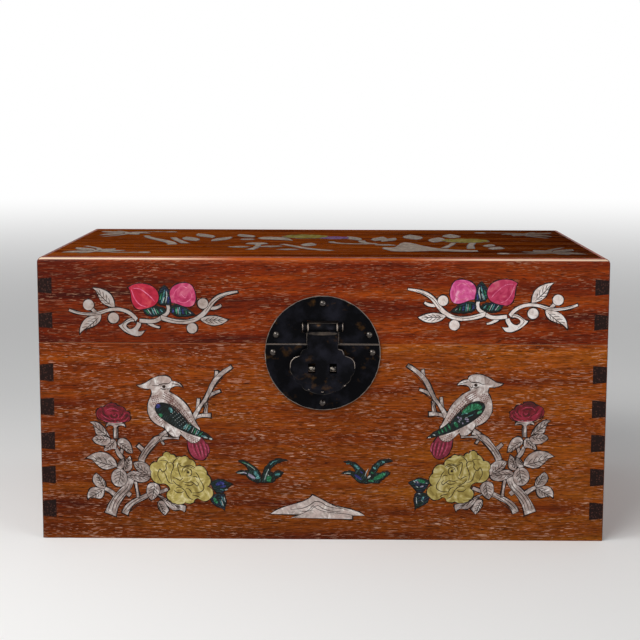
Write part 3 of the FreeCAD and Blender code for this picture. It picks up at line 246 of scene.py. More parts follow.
    # eased edges are rubbed pale by hands and carry a painted highlight: an edge looks half up or
    # down and half sideways
    sideways = add_node(tree, "ShaderNodeMath", {
        0: facing_part.outputs["X"], 1: facing_part.outputs["Y"]}, operation="MAXIMUM")
    edge = add_node(tree, "ShaderNodeMath", {
        0: sideways, 1: facing_part.outputs["Z"]}, operation="MULTIPLY")
    edge_wear_and_highlight = add_node(tree, "ShaderNodeMapRange", {
        "Value": edge, "From Min": 0.42, "From Max": 0.495})
    edge_wear_and_highlight_share = add_node(tree, "ShaderNodeMath", {0: edge_wear_and_highlight, 1: 0.85}, operation="MULTIPLY")
    # towards the ends of a board the edge turns to a pale painted glint
    off_middle = add_node(tree, "ShaderNodeMath", {
        0: place_part.outputs["X"]}, operation="ABSOLUTE")
    glint_near_end = add_node(tree, "ShaderNodeMapRange", {
        "Value": off_middle, "From Min": 0.045, "From Max": 0.085})
    worn_and_glint_hue = add_node(tree, "ShaderNodeMix", {
        0: glint_near_end, 6: linear(worn), 7: linear(edge_glint_ends or worn)}, data_type="RGBA")
    colour = add_node(tree, "ShaderNodeMix", {
        0: edge_wear_and_highlight_share, 6: grain, 7: worn_and_glint_hue}, data_type="RGBA")
    # the surface sinks a twentieth of a millimetre at the pores
    sink = add_node(tree, "ShaderNodeMath", {0: pore, 1: streak}, operation="ADD")
    skin = add_node(tree, "ShaderNodeBump", {"Height": sink, "Strength": 0.35, "Distance": 0.00005})
    gloss = add_node(tree, "ShaderNodeMapRange", {
        "Value": streak, "To Min": satin[0], "To Max": satin[1]})
    shader = add_node(tree, "ShaderNodeBsdfPrincipled", {
        "Base Color": colour, "Roughness": gloss, "Specular IOR Level": level, "Normal": skin})
    add_node(tree, "ShaderNodeOutputMaterial", {"Surface": shader})
    return material


def give_finish(node_names, material):
    """Put one material on each of these carried-over pieces."""
    for name in node_names:
        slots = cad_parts[name].data.materials
        slots.clear()
        slots.append(material)


# painted shade: the case darkens towards its left end and at the floor
case_colours = {"pale": "#b56015", "middle": "#9a460c", "dark": "#6e2305", "pore_wax": "#d2a58c",
                "worn": "#a85a20", "end_shades": ("#d7c3c2", "#ffffff"), "foot_shade": "#d7e0f3"}
give_finish(["case_front", "case_back", "case_bottom"],
            waxed_rosewood("waxed_rosewood_case", **case_colours))
give_finish(["case_left_side", "case_right_side"],
            waxed_rosewood("waxed_rosewood_case_ends", **case_colours, along="Y"))


# ------------------------------------------------------------------ lid boards
# The lid is sawn from redder, darker boards than the case and its top edges are rounded over.
# Joined and waxed in the same way; the top has a duller wax than the front.

# painted shade: the lid darkens towards its left end
lid_colours = {"pale": "#a2450b", "middle": "#7c2804", "dark": "#501403", "pore_wax": "#b08468",
               "worn": "#b0530f", "end_shades": ("#c4ada2", "#ffffff"), "drift": (-0.15, -0.04)}
give_finish(["lid_front", "lid_back"],
            waxed_rosewood("waxed_rosewood_lid", **lid_colours, slope=0.02, edge_glint_ends="#ead0b4"))
give_finish(["lid_left_side", "lid_right_side"],
            waxed_rosewood("waxed_rosewood_lid_ends", **lid_colours, along="Y"))
# painted shade: the top board is drawn in darker colours than the lid's front, and darker still
# towards its right end
shaded_top_colours = {"pale": "#8b430e", "middle": "#682a08", "dark": "#3f1403", "pore_wax": "#7d5a44",
               "worn": "#b0530f", "end_shades": ("#ffffff", "#a89c98"), "drift": (0.03, 0.15)}
give_finish(["lid_top"],
            waxed_rosewood("waxed_rosewood_lid_top_shaded", **shaded_top_colours, level=0.0, satin=(0.66, 0.8),
                           edge_glint_ends="#ead0b4"))


# ------------------------------------------------------------------ tray
# A lift-out tray of the same wood, thinner and left plainer, on two rails inside the case.
# Glued and waxed; the end boards have a finger notch each.

tray_colours = {"pale": "#a9622c", "middle": "#8f4c1e", "dark": "#703614", "pore_wax": "#b88c6c",
                "worn": "#c08048"}
give_finish(["tray_front", "tray_back", "tray_bottom"],
            waxed_rosewood("waxed_tray_boards", **tray_colours))
give_finish(["tray_left", "tray_right", "tray_rails"],
            waxed_rosewood("waxed_tray_ends", **tray_colours, along="Y"))
give_finish(["tray_dividers"],
            waxed_rosewood("waxed_tray_dividers", **tray_colours, end_grain=0.0))


# ------------------------------------------------------------------ white shell
# Leaves, branches, birds, mountain and sprigs sawn from mother-of-pearl and set in glued pockets.
# Polished flat: grey-white with cloudy growth layers and a faint pink and green play of colour.

def tinted_and_shaded_plates(tree, place, colour, tints_and_shades):
    """Multiply 'colour' by the hue of each (side, metres, hue) where side * x passes the metres; a
    hue is the shell's own tint in some plates and a painted shade in others.
    """
    for side, beyond, tint in tints_and_shades:
        split = add_node(tree, "ShaderNodeSeparateXYZ", {"Vector": place})
        across = add_node(tree, "ShaderNodeMath", {
            0: split.outputs["X"], 1: side}, operation="MULTIPLY")
        outer = add_node(tree, "ShaderNodeMath", {0: across, 1: beyond}, operation="GREATER_THAN")
        colour = add_node(tree, "ShaderNodeMix", {
            0: outer, 6: colour, 7: linear(tint)}, data_type="RGBA", blend_type="MULTIPLY")
    return colour


def pearl_shell(name, shadow, body, light, blush, cloud_mm=4.0, level=0.3, tints_and_shades=()):
    """Polished nacre: soft clouds and fine mottling between a shadow and a light tone."""
    material, tree = empty_material(name)
    place = add_node(tree, "ShaderNodeTexCoord").outputs["Object"]
    cloud = add_node(tree, "ShaderNodeTexNoise", {
        "Vector": place, "Scale": 1000 / cloud_mm, "Detail": 5.0, "Roughness": 0.68,
        "Distortion": 0.8})
    ramp = add_node(tree, "ShaderNodeValToRGB", {"Fac": cloud},
                    stops=((0.33, shadow), (0.49, body), (0.67, light)))
    # the play of colour changes every 9 mm
    hue = add_node(tree, "ShaderNodeTexNoise", {"Vector": place, "Scale": 110.0, "Distortion": 2.0})
    hue_share = add_node(tree, "ShaderNodeMapRange", {
        "Value": hue, "From Min": 0.42, "From Max": 0.70, "To Max": 0.6})
    colour = add_node(tree, "ShaderNodeMix", {
        0: hue_share, 6: ramp, 7: linear(blush)}, data_type="RGBA")
    shader = add_node(tree, "ShaderNodeBsdfPrincipled", {
        "Base Color": tinted_and_shaded_plates(tree, place, colour, tints_and_shades), "Roughness": 0.34, "IOR": 1.53,
        "Specular IOR Level": level})
    add_node(tree, "ShaderNodeOutputMaterial", {"Surface": shader})
    return material


give_finish(["inlay_birds"],
            pearl_shell("pearl_shell_bright", "#7c6a62", "#bdaca5", "#fffaf6", "#c6aaa0"))
# painted light: the right sprig is drawn in whiter shell than the left, for the light it catches
give_finish(["lid_inlay_sprigs"],
            pearl_shell("pearl_shell_lid_painted_light", "#b8a69d", "#f0e2db", "#fffcfa", "#f0dcd2",
                        tints_and_shades=((-1, 0.0, "#c6c1be"),)))
give_finish(["inlay_leaves", "inlay_branches"],
            pearl_shell("pearl_shell_grey", "#6f615b", "#a59690", "#f2e7e1", "#b0958b"))
give_finish(["inlay_mountain"],
            pearl_shell("pearl_shell_mountain", "#94837b", "#c6b5ad", "#fff5ee", "#d6bab2"))
# the top is rubbed dull by what is put down on it; its shell is also a painted shade, darker than
# the front's and darker still at the right end
give_finish(["inlay_top_birds", "inlay_top_sprigs", "inlay_top_leaves", "inlay_top_branches"],
            pearl_shell("pearl_shell_dull_shaded", "#6a5f56", "#887b70", "#ab9d91", "#8f7d70", level=0.0,
                        tints_and_shades=((1, 0.1, "#c4b8b0"),)))


# ------------------------------------------------------------------ abalone shell
# Wings, swallows and dark leaves sawn from dark abalone.
# Polished flat: near black, with thin growth layers of dull green and blue.

def abalone_shell(name, hues, turn=0.5):
    """Polished abalone: coloured patches of 3 mm, crossed by wavy black layers 1.2 mm apart."""
    material, tree = empty_material(name)
    place = add_node(tree, "ShaderNodeTexCoord").outputs["Object"]
    in_mm = add_node(tree, "ShaderNodeMapping", {
        "Vector": place, "Rotation": (0, turn, 0), "Scale": (1000, 1000, 1000)})
    drift = add_node(tree, "ShaderNodeTexNoise", {"Vector": in_mm, "Scale": 1 / 6, "Detail": 2.0})
    bent = add_node(tree, "ShaderNodeVectorMath", {
        0: drift.outputs["Color"], 1: (6, 6, 6), 2: in_mm}, operation="MULTIPLY_ADD")
    patch = add_node(tree, "ShaderNodeTexNoise", {"Vector": bent, "Scale": 1 / 3, "Detail": 1.0})
    ramp = add_node(tree, "ShaderNodeValToRGB", {"Fac": patch},
                    stops=list(zip(np.linspace(0.32, 0.68, len(hues)), hues)))
    layer = add_node(tree, "ShaderNodeTexWave", {
        "Vector": bent, "Scale": 0.26, "Distortion": 2.0, "Detail": 1.5, "Detail Scale": 1.4},
        bands_direction="Z")
    black = add_node(tree, "ShaderNodeMapRange", {
        "Value": layer.outputs["Fac"], "From Min": 0.30, "From Max": 0.75, "To Min": 0.95,
        "To Max": 0.0})
    colour = add_node(tree, "ShaderNodeMix", {
        0: black, 6: ramp, 7: linear("#050706")}, data_type="RGBA")
    shader = add_node(tree, "ShaderNodeBsdfPrincipled", {
        "Base Color": colour, "Roughness": 0.3, "IOR": 1.53, "Specular IOR Level": 0.2})
    add_node(tree, "ShaderNodeOutputMaterial", {"Surface": shader})
    return material


give_finish(["inlay_wings"],
            abalone_shell("abalone_wing",
                          ["#0a0c0b", "#0d1311", "#13221c", "#1a2a30", "#2c3634"], 0.7))
give_finish(["inlay_dark_leaves", "lid_inlay_peach_leaves"],
            abalone_shell("abalone_leaf",
                          ["#0c100f", "#102a20", "#1d3c3a", "#17193c", "#2c3a44"], 0.2))
give_finish(["inlay_swallows"],
            abalone_shell("abalone_swallow", ["#0c100f", "#14241e", "#24413a", "#2f4a4a"], 1.1))


# ------------------------------------------------------------------ dyed shell
# Peonies, peaches, red flowers and tail feathers sawn from shell dyed yellow, pink, crimson
# and purple. Polished flat: the dye takes unevenly along the growth layers.

def dyed_shell(name, deep, body, light, layer_mm=3.0, tints_and_shades=(), level=0.25):
    """Dyed nacre: swirled layers from a deep to a light tone."""
    material, tree = empty_material(name)
    place = add_node(tree, "ShaderNodeTexCoord").outputs["Object"]
    in_mm = add_node(tree, "ShaderNodeMapping", {"Vector": place, "Scale": (1000, 1000, 1000)})
    swirl = add_node(tree, "ShaderNodeTexNoise", {"Vector": in_mm, "Scale": 1 / 9, "Detail": 1.5})
    bent = add_node(tree, "ShaderNodeVectorMath", {
        0: swirl.outputs["Color"], 1: (16, 16, 16), 2: in_mm}, operation="MULTIPLY_ADD")
    layer = add_node(tree, "ShaderNodeTexNoise", {
        "Vector": bent, "Scale": 1 / layer_mm, "Detail": 3.0})
    ramp = add_node(tree, "ShaderNodeValToRGB", {"Fac": layer},
                    stops=((0.34, deep), (0.52, body), (0.70, light)))
    shader = add_node(tree, "ShaderNodeBsdfPrincipled", {
        "Base Color": tinted_and_shaded_plates(tree, place, ramp, tints_and_shades), "Roughness": 0.34, "IOR": 1.53,
        "Specular IOR Level": level})
    add_node(tree, "ShaderNodeOutputMaterial", {"Surface": shader})
    return material


give_finish(["inlay_peonies"],
            dyed_shell("yellow_dyed_shell", "#94803f", "#c3b063", "#e9dca7",
                       tints_and_shades=((1, 0.0, "#eae8e4"),)))
give_finish(["inlay_red_flowers"],
            dyed_shell("crimson_dyed_shell", "#440910", "#73131e", "#982739"))
give_finish(["inlay_tails"],
            dyed_shell("rose_dyed_shell", "#741b2e", "#902c40", "#a84558",
                       tints_and_shades=((1, 0.0, "#dfdada"),)))
# painted shade: the left sprig's peaches are drawn darker than the right's; the outer peaches are
# redder, their own colour
give_finish(["lid_inlay_peaches"],
            dyed_shell("pink_dyed_shell", "#c73f7b", "#e5649e", "#f8aec9", 4.0,
                       ((-1, 0.0, "#dcaab0"), (-1, 0.084, "#f8b4a6"), (1, 0.084, "#dfa8a4"))))
# painted shade: the top's peonies are a darker copy of the front's yellow shell
give_finish(["inlay_top_peonies"],
            dyed_shell("yellow_dyed_shell_dull_shaded", "#5f5322", "#7a6c30", "#97894c", level=0.0))
give_finish(["inlay_top_flower"],
            dyed_shell("purple_dyed_shell", "#4b2f57", "#6b4877", "#94769e", level=0.0))


# ------------------------------------------------------------------ glue lines
# Each plate of shell sits in dark animal glue, which stands as an uneven line round it.
# The glue is wiped flush and shows nearly black.

def face_outline(node_name, facing):
    """The edges of a piece's flat face that looks along 'facing', run with the face on the left.

    The face is the level with the most area among its triangles with that normal, and its edges are
    those which no second triangle shares. Levels within 0.01 mm are one, and so are corners within
    0.001 mm.
    """
    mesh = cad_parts[node_name].data
    mesh.calc_loop_triangles()
    points = np.empty(len(mesh.vertices) * 3, np.float32)
    mesh.vertices.foreach_get("co", points)
    corners = np.empty(len(mesh.loop_triangles) * 3, np.int32)
    mesh.loop_triangles.foreach_get("vertices", corners)
    triangles = points.reshape(-1, 3)[corners].reshape(-1, 3, 3).astype(float)
    normal = np.cross(triangles[:, 1] - triangles[:, 0], triangles[:, 2] - triangles[:, 0])
    size = np.linalg.norm(normal, axis=1)
    level = triangles.mean(axis=1) @ facing
    flat = (normal @ facing > 0.999 * size) & (size > 0)
    steps, step_of = np.unique(np.round(level[flat] * 1e5), return_inverse=True)
    main_level = steps[np.bincount(step_of, size[flat]).argmax()] / 1e5
    flat &= np.abs(level - main_level) < 2e-5
    places, number = np.unique(np.round(triangles[flat].reshape(-1, 3) * 1e6), axis=0,
                               return_inverse=True)
    number = number.reshape(-1, 3)
    starts, ends = number.ravel(), np.roll(number, -1, axis=1).ravel()
    open_side = ~np.isin(starts * len(places) + ends, ends * len(places) + starts)
    return places / 1e6, starts[open_side], ends[open_side]


def longest_loop(places, starts, ends):
    """The one closed run of edges with the most corners, of up to 4096.

    Every corner takes the lowest number that it meets as it walks on, in strides that double.
    """
    onwards, label = np.arange(len(places)), np.arange(len(places))
    onwards[starts] = ends
    for _ in range(12):
        label, onwards = np.minimum(label, label[onwards]), onwards[onwards]
    kept = label[starts] == np.bincount(label[starts]).argmax()
    return places, starts[kept], ends[kept]


# radians per metre along x, y and z
short_wave, long_wave = np.array([[[1900.0], [2300.0], [1700.0]], [[610.0], [470.0], [830.0]]])


def edge_band(name, node_names, facing, section, material, body, wander, outer_only=False,
              gap=None):
    """A thin section carried round the outline of flat faces.

    The section is (outwards, above the face) in mm at each of its points. Outwards is measured
    square to the outline and multiplied by 1 + wander * sin(w.p + 2 sin(v.p)) at the point p. Edges
    nearer the middle than gap[0] mm and lower than gap[1] mm are left out.
    """
    facing = np.array(facing, float) / np.linalg.norm(facing)
    all_points, all_faces, count = [], [], 0
    for node_name in node_names:
        places, starts, ends = face_outline(node_name, facing)
        if outer_only:
            places, starts, ends = longest_loop(places, starts, ends)
        run = places[ends] - places[starts]
        out = np.cross(run, facing)
        out /= np.linalg.norm(out, axis=1)[:, None]
        corner = np.zeros_like(places)
        np.add.at(corner, starts, out)
        np.add.at(corner, ends, out)
        # mitred: the sum of the two sides' normals, times 2 over its length squared
        length = np.maximum(np.linalg.norm(corner, axis=1), 0.9)[:, None]
        corner = corner / length ** 2 * 2
        swell = 1 + wander * np.sin(places @ short_wave + 2 * np.sin(places @ long_wave))
        rings = [places + corner * swell * outwards / 1000 + facing * above / 1000
                 for outwards, above in section]
        if gap:
            farther = np.abs(places[np.stack([starts, ends])]).max(axis=0) * 1000
            kept = (farther[:, 0] > gap[0]) | (farther[:, 2] > gap[1])
            starts, ends = starts[kept], ends[kept]
        for ring in range(len(section) - 1):
            low, high = count + ring * len(places), count + (ring + 1) * len(places)
            all_faces.append(np.stack([low + starts, high + starts, high + ends, low + ends], 1))
        all_points += rings
        count += len(section) * len(places)
    band = surface_mesh(name, np.concatenate(all_points), np.concatenate(all_faces))
    band.data.materials.append(material)
    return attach(band, body)


def dull_filling(name, hue):
    """Glue or soft wax, wiped flush: one dark colour with almost no shine."""
    material, tree = empty_material(name)
    shader = add_node(tree, "ShaderNodeBsdfPrincipled", {
        "Base Color": linear(hue), "Roughness": 0.5, "Specular IOR Level": 0.15})
    add_node(tree, "ShaderNodeOutputMaterial", {"Surface": shader})
    return material


glue = dull_filling("dark_hide_glue", "#160a07")
front, upwards, backwards = (0, -1, 0), (0, 0, 1), (0, 1, 0)
# wiped flush with the wood, the glue falls away from the edge of the shell
glue_section = ((0.0, -0.03), (0.28, -0.10), (0.52, -0.19))
case_shell = [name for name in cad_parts
              if name.startswith("inlay_") and not name.startswith("inlay_top")]
lid_shell = [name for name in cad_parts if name.startswith("lid_inlay")]
top_shell = [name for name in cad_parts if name.startswith("inlay_top")]
for name, node_names, facing, body in (("glue_lines_case", case_shell, front, "case"),
                                       ("glue_lines_lid", lid_shell, front, "lid"),
                                       ("glue_lines_top", top_shell, upwards, "lid")):
    edge_band(name, sorted(node_names), facing, glue_section, glue, body, 0.5)


# ------------------------------------------------------------------ engraved lines
# Veins, feathers and petals are cut into the shell with a graver, and the cuts are filled with
# dark wax that stands a hair proud. Sizes and places are in mm, across and up the front.

def line_beads(strokes, place, rise=0.03):
    """Low beads along smooth lines, each stroke given as (width, points).

    A line runs through its points as a Catmull-Rom curve. At share s of its length a bead is
    width * (4 s (1 - s)) ** 0.35 wide. Its sides are sunk 0.004 mm and its middle stands 'rise'
    proud.
    """
    all_points, all_faces, count = [], [], 0
    step = np.arange(5)[None, :, None] / 5
    for width, points in strokes:
        points = np.array(points, float)
        padded = np.vstack([2 * points[0] - points[1], points, 2 * points[-1] - points[-2]])
        a, b, c, d = (padded[shift:len(padded) - 3 + shift, None] for shift in range(4))
        line = 0.5 * (2 * b + (c - a) * step + (2 * a - 5 * b + 4 * c - d) * step ** 2
                      + (3 * b - a - 3 * c + d) * step ** 3)
        line = np.vstack([line.reshape(-1, 2), points[-1:]])
        along = np.gradient(line, axis=0)
        along /= np.linalg.norm(along, axis=1)[:, None]
        across = np.stack([-along[:, 1], along[:, 0]], axis=1)
        share = np.linspace(0.01, 0.99, len(line))[:, None]
        half = across * width / 2 * (4 * share * (1 - share)) ** 0.35
        for side, height in ((-1, -0.004), (0, rise), (1, -0.004)):
            flat = line + side * half
            all_points.append(place(flat[:, 0], flat[:, 1], np.full(len(flat), height)))
        first = np.arange(len(line) - 1) + count
        for row in (0, len(line)):
            all_faces.append(np.stack([first + row, first + row + 1, first + row + 1 + len(line),
                                       first + row + len(line)], axis=1))
        count += 3 * len(line)
    return np.concatenate(all_points) / 1000, np.concatenate(all_faces)


def lay_lines(name, strokes, place, material, body, rise=0.03):
    """One piece made of all the beads of these strokes."""
    piece = surface_mesh(name, *line_beads(strokes, place, rise))
    piece.data.materials.append(material)
    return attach(piece, body)


shell_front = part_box("inlay_birds")[0][1] * 1000
shell_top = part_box("inlay_top_birds")[1][2] * 1000
wood_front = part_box("case_front")[0][1] * 1000


def on_front(across, up, height):
    """Points on the face of the front shell, 'height' in front of it."""
    return np.stack([across, shell_front - height, up], axis=1)


def on_top(across, back, height):
    """Points on the face of the top shell; 'back' is measured from the front of the lid."""
    return np.stack([across, wood_front + back, shell_top + height], axis=1)


def other_side(strokes, about=(0, 0), degrees=0.0, shift=(0, 0)):
    """The strokes mirrored across the middle line, turned about a point and shifted."""
    turn = np.radians(degrees)
    spin = np.array([[np.cos(turn), np.sin(turn)], [-np.sin(turn), np.cos(turn)]])
    return [(width, (np.array(points, float) * (-1, 1) - about) @ spin + about + shift)
            for width, points in strokes]


def right_scene(strokes):
    """Strokes of the left bird and peony where the right ones have them, turned 0.6 degrees."""
    return other_side(strokes, about=(88, 50), degrees=0.6, shift=(-2.8, 1.6))


def right_sprig(strokes):
    """Strokes of the lid's left sprig where the right one has them, turned 1.4 degrees."""
    return other_side(strokes, about=(89, 124), degrees=1.4, shift=(0, 2.7))


def leaf_veins(base, tip, width, pairs=4):
    """A bowed midrib from base to tip, and side veins that leave it in pairs and lean forward."""
    base, tip = np.array(base, float), np.array(tip, float)
    run = tip - base
    across = np.array([-run[1], run[0]]) / np.linalg.norm(run) * width
    strokes = [(0.5, [base + 0.04 * run, base + 0.5 * run + 0.05 * across, base + 0.93 * run])]
    for share in np.linspace(0.14, 0.66, pairs):
        reach = 0.40 * (1 - abs(share - 0.36) * 1.3)
        for side in (-1, 1):
            root = base + share * run
            strokes.append((0.4, [root, root + 0.09 * run + side * 0.6 * reach * across,
                                  root + 0.20 * run + side * reach * across]))
    return strokes


def rows_of_cuts(width, start, along, down, cut, columns, rows):
    """Short strokes in rows: each runs by 'cut' from start + column * along + row * down."""
    roots = [np.array(start) + np.multiply(column, along) + np.multiply(row, down)
             for row in range(rows) for column in range(columns)]
    return [(width, [root, root + cut]) for root in roots]


wax = dull_filling("dark_engraving_wax", "#2c1e17")

peony_lines = [(0.52, points) for points in (
    [(-87.0, 42.6), (-84.5, 42.9), (-82.6, 42.2), (-83.4, 40.4), (-83.2, 38.4), (-84.2, 37.0),
     (-85.4, 36.6), (-86.6, 38.2), (-87.6, 36.4), (-87.7, 34.4), (-86.6, 32.2), (-85.8, 30.6)],
    [(-82.4, 41.6), (-80.6, 41.6), (-79.4, 40.6), (-79.6, 38.6), (-80.6, 36.0), (-80.8, 33.2),
     (-80.2, 30.9)],
    [(-84.4, 36.6), (-83.4, 34.4), (-82.6, 31.8), (-81.4, 30.6), (-79.4, 30.2)],
    [(-79.3, 38.9), (-79.6, 41.4), (-78.2, 43.4), (-76.4, 44.6)],
    [(-75.4, 41.2), (-77.0, 40.8), (-76.9, 38.2), (-76.2, 35.6), (-75.4, 33.6)],
    [(-76.8, 41.0), (-74.6, 39.6), (-71.0, 40.3), (-68.6, 39.4), (-67.7, 38.6)],
    [(-73.6, 36.4), (-72.6, 38.2), (-70.4, 38.0), (-69.6, 36.2), (-70.4, 34.6), (-72.6, 34.4)],
    [(-75.0, 36.2), (-74.0, 38.8), (-71.0, 39.4), (-68.4, 38.4)],
    [(-79.6, 33.6), (-77.8, 33.0), (-76.0, 32.0), (-74.4, 33.4)],
    [(-79.8, 32.0), (-78.4, 30.2), (-76.4, 29.0), (-74.4, 28.4)],
    [(-75.0, 31.6), (-72.6, 30.8), (-70.0, 31.2), (-68.0, 29.9), (-66.8, 28.9), (-66.2, 30.2),
     (-67.4, 31.6)],
    [(-73.6, 29.8), (-70.6, 29.2), (-68.6, 30.2)],
    [(-72.8, 27.6), (-71.2, 27.2), (-70.0, 25.6), (-69.9, 24.9)],
    [(-74.4, 27.6), (-73.0, 25.6), (-72.0, 23.6), (-70.6, 22.0), (-69.0, 21.6)],
    [(-79.4, 26.8), (-77.6, 25.4), (-75.4, 25.3), (-74.0, 26.2)],
    [(-78.4, 27.6), (-76.6, 28.3), (-74.8, 27.6), (-73.8, 26.6)],
    [(-65.4, 32.4), (-64.2, 30.4), (-63.3, 28.2), (-64.0, 26.4), (-66.4, 25.3), (-69.6, 25.2)],
    [(-67.7, 36.6), (-66.2, 34.6), (-65.4, 32.4)], [(-69.4, 33.8), (-67.6, 34.2), (-66.6, 33.2)],
    [(-69.6, 24.0), (-66.8, 23.4), (-65.2, 22.4)])]
peony_lines += [(1.5, [(-72.3, 36.6), (-70.9, 36.2)]), (0.4, [(-72.9, 37.2), (-71.6, 37.6)])]

bird_lines = [(0.45, points) for points in (
    [(-90.4, 83.5), (-87.6, 83.3), (-85.2, 84.2), (-82.6, 84.2), (-81.2, 84.6), (-80.2, 85.9)],
    [(-79.9, 84.6), (-77.4, 84.0), (-75.2, 83.4)], [(-82.6, 82.8), (-82.0, 81.4), (-80.8, 82.2)],
    [(-82.7, 75.2), (-81.6, 73.9), (-78.4, 71.9), (-75.2, 69.6), (-72.6, 66.0), (-70.2, 63.0)],
    [(-84.4, 62.2), (-83.8, 60.4), (-82.2, 57.8), (-80.6, 56.7)], [(-75.8, 59.0), (-74.6, 57.6)],
    [(-83.8, 57.2), (-85.6, 55.0), (-84.6, 52.6)], [(-87.4, 55.4), (-86.0, 53.2), (-84.2, 53.4)])]
bird_lines += [(1.9, [(-84.9, 82.8), (-83.1, 82.8)]),
               (0.6, [(-86.6, 83.9), (-84.0, 84.3), (-81.4, 84.4)]),
               (0.6, [(-85.9, 81.9), (-84.2, 81.3), (-82.6, 81.6)])]
# feathers: rows of short cuts on the neck, the shoulder, the back, the belly and the rump
feather_lines = []
for patch in (
        ((-91.0, 76.8), (1.0, 0.2), (0.25, -1.0), (0.7, 0.9), 4, 5),
        ((-84.0, 79.9), (0.95, -0.55), (-0.3, -1.05), (0.8, -0.7), 6, 4),
        ((-79.0, 76.6), (0.9, -1.0), (-0.85, -0.7), (0.5, -0.9), 6, 4),
        ((-73.2, 70.4), (0.8, -1.2), (-0.85, -0.5), (0.4, -1.0), 6, 3),
        ((-89.0, 66.6), (0.8, -0.9), (0.7, 0.5), (0.4, -0.8), 5, 3),
        ((-71.6, 56.8), (1.0, -0.4), (-0.1, -0.9), (0.6, -0.5), 7, 4)):
    feather_lines += rows_of_cuts(0.5, *patch)

branch_lines = [(0.45, points) for points in (
    [(-112.8, 14.6), (-111.4, 19.0), (-108.6, 23.4), (-104.6, 27.4), (-103.2, 30.6)],
    [(-111.0, 14.8), (-109.8, 18.8), (-107.0, 22.6), (-103.4, 26.6), (-101.8, 30.2)],
    [(-104.6, 14.4), (-101.6, 17.8), (-98.0, 20.6), (-93.6, 22.8)],
    [(-103.4, 14.2), (-100.6, 16.8), (-97.2, 19.4)],
    [(-96.0, 43.0), (-92.2, 49.0), (-87.4, 53.3), (-85.0, 56.0)],
    [(-94.9, 42.5), (-91.4, 47.6), (-87.6, 51.6)],
    [(-64.6, 66.8), (-62.6, 71.0), (-60.8, 76.4), (-56.4, 83.6), (-51.2, 89.4)],
    [(-65.7, 68.0), (-63.5, 72.7), (-59.6, 76.2), (-55.6, 79.0)],
    [(-117.4, 25.9), (-113.8, 24.6), (-110.8, 22.6)], [(-109.4, 61.0), (-109.6, 54.4)],
    [(-106.8, 45.6), (-104.6, 42.0), (-103.6, 38.6)],
    [(-114.6, 14.8), (-113.2, 19.2), (-110.2, 23.8), (-106.4, 27.6)],
    [(-106.4, 14.6), (-103.2, 18.4), (-99.4, 21.2), (-95.0, 23.6)],
    [(-97.4, 43.6), (-93.6, 49.4), (-89.4, 53.9)], [(-83.4, 57.0), (-82.0, 58.2), (-80.2, 59.2)],
    [(-90.4, 54.6), (-88.2, 56.4), (-85.6, 57.2)], [(-81.4, 52.9), (-78.4, 52.9), (-75.6, 53.2)],
    [(-98.9, 29.6), (-98.0, 24.6), (-97.4, 21.4)], [(-108.5, 61.0), (-108.7, 54.4)],
    [(-63.6, 66.4), (-60.4, 66.2), (-57.6, 66.4)], [(-62.4, 68.4), (-61.6, 72.0), (-60.6, 74.6)])]
flower_lines = [(0.42, points) for points in (
    [(-120.6, 65.8), (-117.4, 63.3), (-112.6, 62.2)],
    [(-110.4, 62.1), (-105.4, 63.0), (-102.7, 65.6)],
    [(-117.4, 69.9), (-115.6, 67.5), (-113.4, 66.1)],
    [(-105.8, 69.6), (-106.6, 67.2), (-108.4, 65.7)],
    [(-114.9, 71.9), (-111.6, 72.3), (-108.4, 71.4)],
    [(-113.2, 69.1), (-111.0, 69.7), (-109.2, 69.1)],
    [(-119.2, 67.8), (-118.4, 65.9), (-115.6, 64.4)],
    [(-103.4, 67.8), (-104.4, 65.9), (-106.8, 64.4)],
    [(-112.4, 68.2), (-111.8, 66.4), (-109.8, 66.1), (-108.9, 67.6)])]
leaf_lines = [vein for leaf in (
    ((-113.2, 55.4), (-123.5, 63.4), 5.5), ((-113.0, 54.4), (-122.4, 54.2), 5.0),
    ((-110.2, 53.6), (-116.0, 48.0), 4.5), ((-109.0, 52.6), (-101.2, 46.8), 5.0),
    ((-109.7, 39.4), (-125.5, 44.0), 7.5), ((-109.6, 38.9), (-106.2, 43.7), 3.5),
    ((-105.4, 36.9), (-102.5, 44.9), 3.8), ((-107.4, 38.2), (-109.4, 28.6), 7.8),
    ((-91.9, 34.1), (-100.6, 41.3), 5.0), ((-104.6, 34.6), (-92.0, 33.4), 5.0),
    ((-116.3, 27.6), (-120.6, 35.5), 5.0), ((-116.7, 27.0), (-125.3, 21.8), 5.5),
    ((-89.6, 30.2), (-91.3, 21.1), 6.5), ((-87.6, 20.3), (-84.2, 12.8), 4.0),
    ((-88.2, 23.7), (-73.9, 15.5), 3.0)) for vein in leaf_veins(*leaf)]
tail_lines = [(0.36, points) for points in (
    [(-68.4, 52.4), (-67.6, 48.8), (-65.9, 45.0)], [(-66.5, 52.6), (-65.4, 48.7), (-64.2, 44.4)],
    [(-64.4, 52.7), (-63.3, 48.7), (-62.7, 44.6)], [(-62.4, 52.5), (-61.4, 49.1), (-61.3, 45.8)])]
mountain_lines = [(0.5, [(-17.0, 16.3), (-11.0, 17.0), (-7.0, 18.6), (-4.0, 20.8), (-0.6, 20.4),
                         (2.4, 18.4), (6.4, 17.4), (11.0, 17.0)]),
                  (0.45, [(-6.0, 16.4), (-2.6, 18.6), (0.6, 16.8), (5.0, 15.6), (9.6, 15.4)]),
                  (0.4, [(-13.0, 15.6), (-8.6, 15.4), (-5.0, 16.2)]),
                  (0.4, [(5.0, 19.0), (9.0, 17.6), (14.0, 16.0)])]
left_lines = peony_lines + bird_lines + flower_lines + tail_lines + branch_lines + leaf_lines
lay_lines("engraving_case", left_lines + right_scene(left_lines) + mountain_lines, on_front, wax,
          "case")
feather_wax = dull_filling("madder_engraving_wax", "#6e433d")
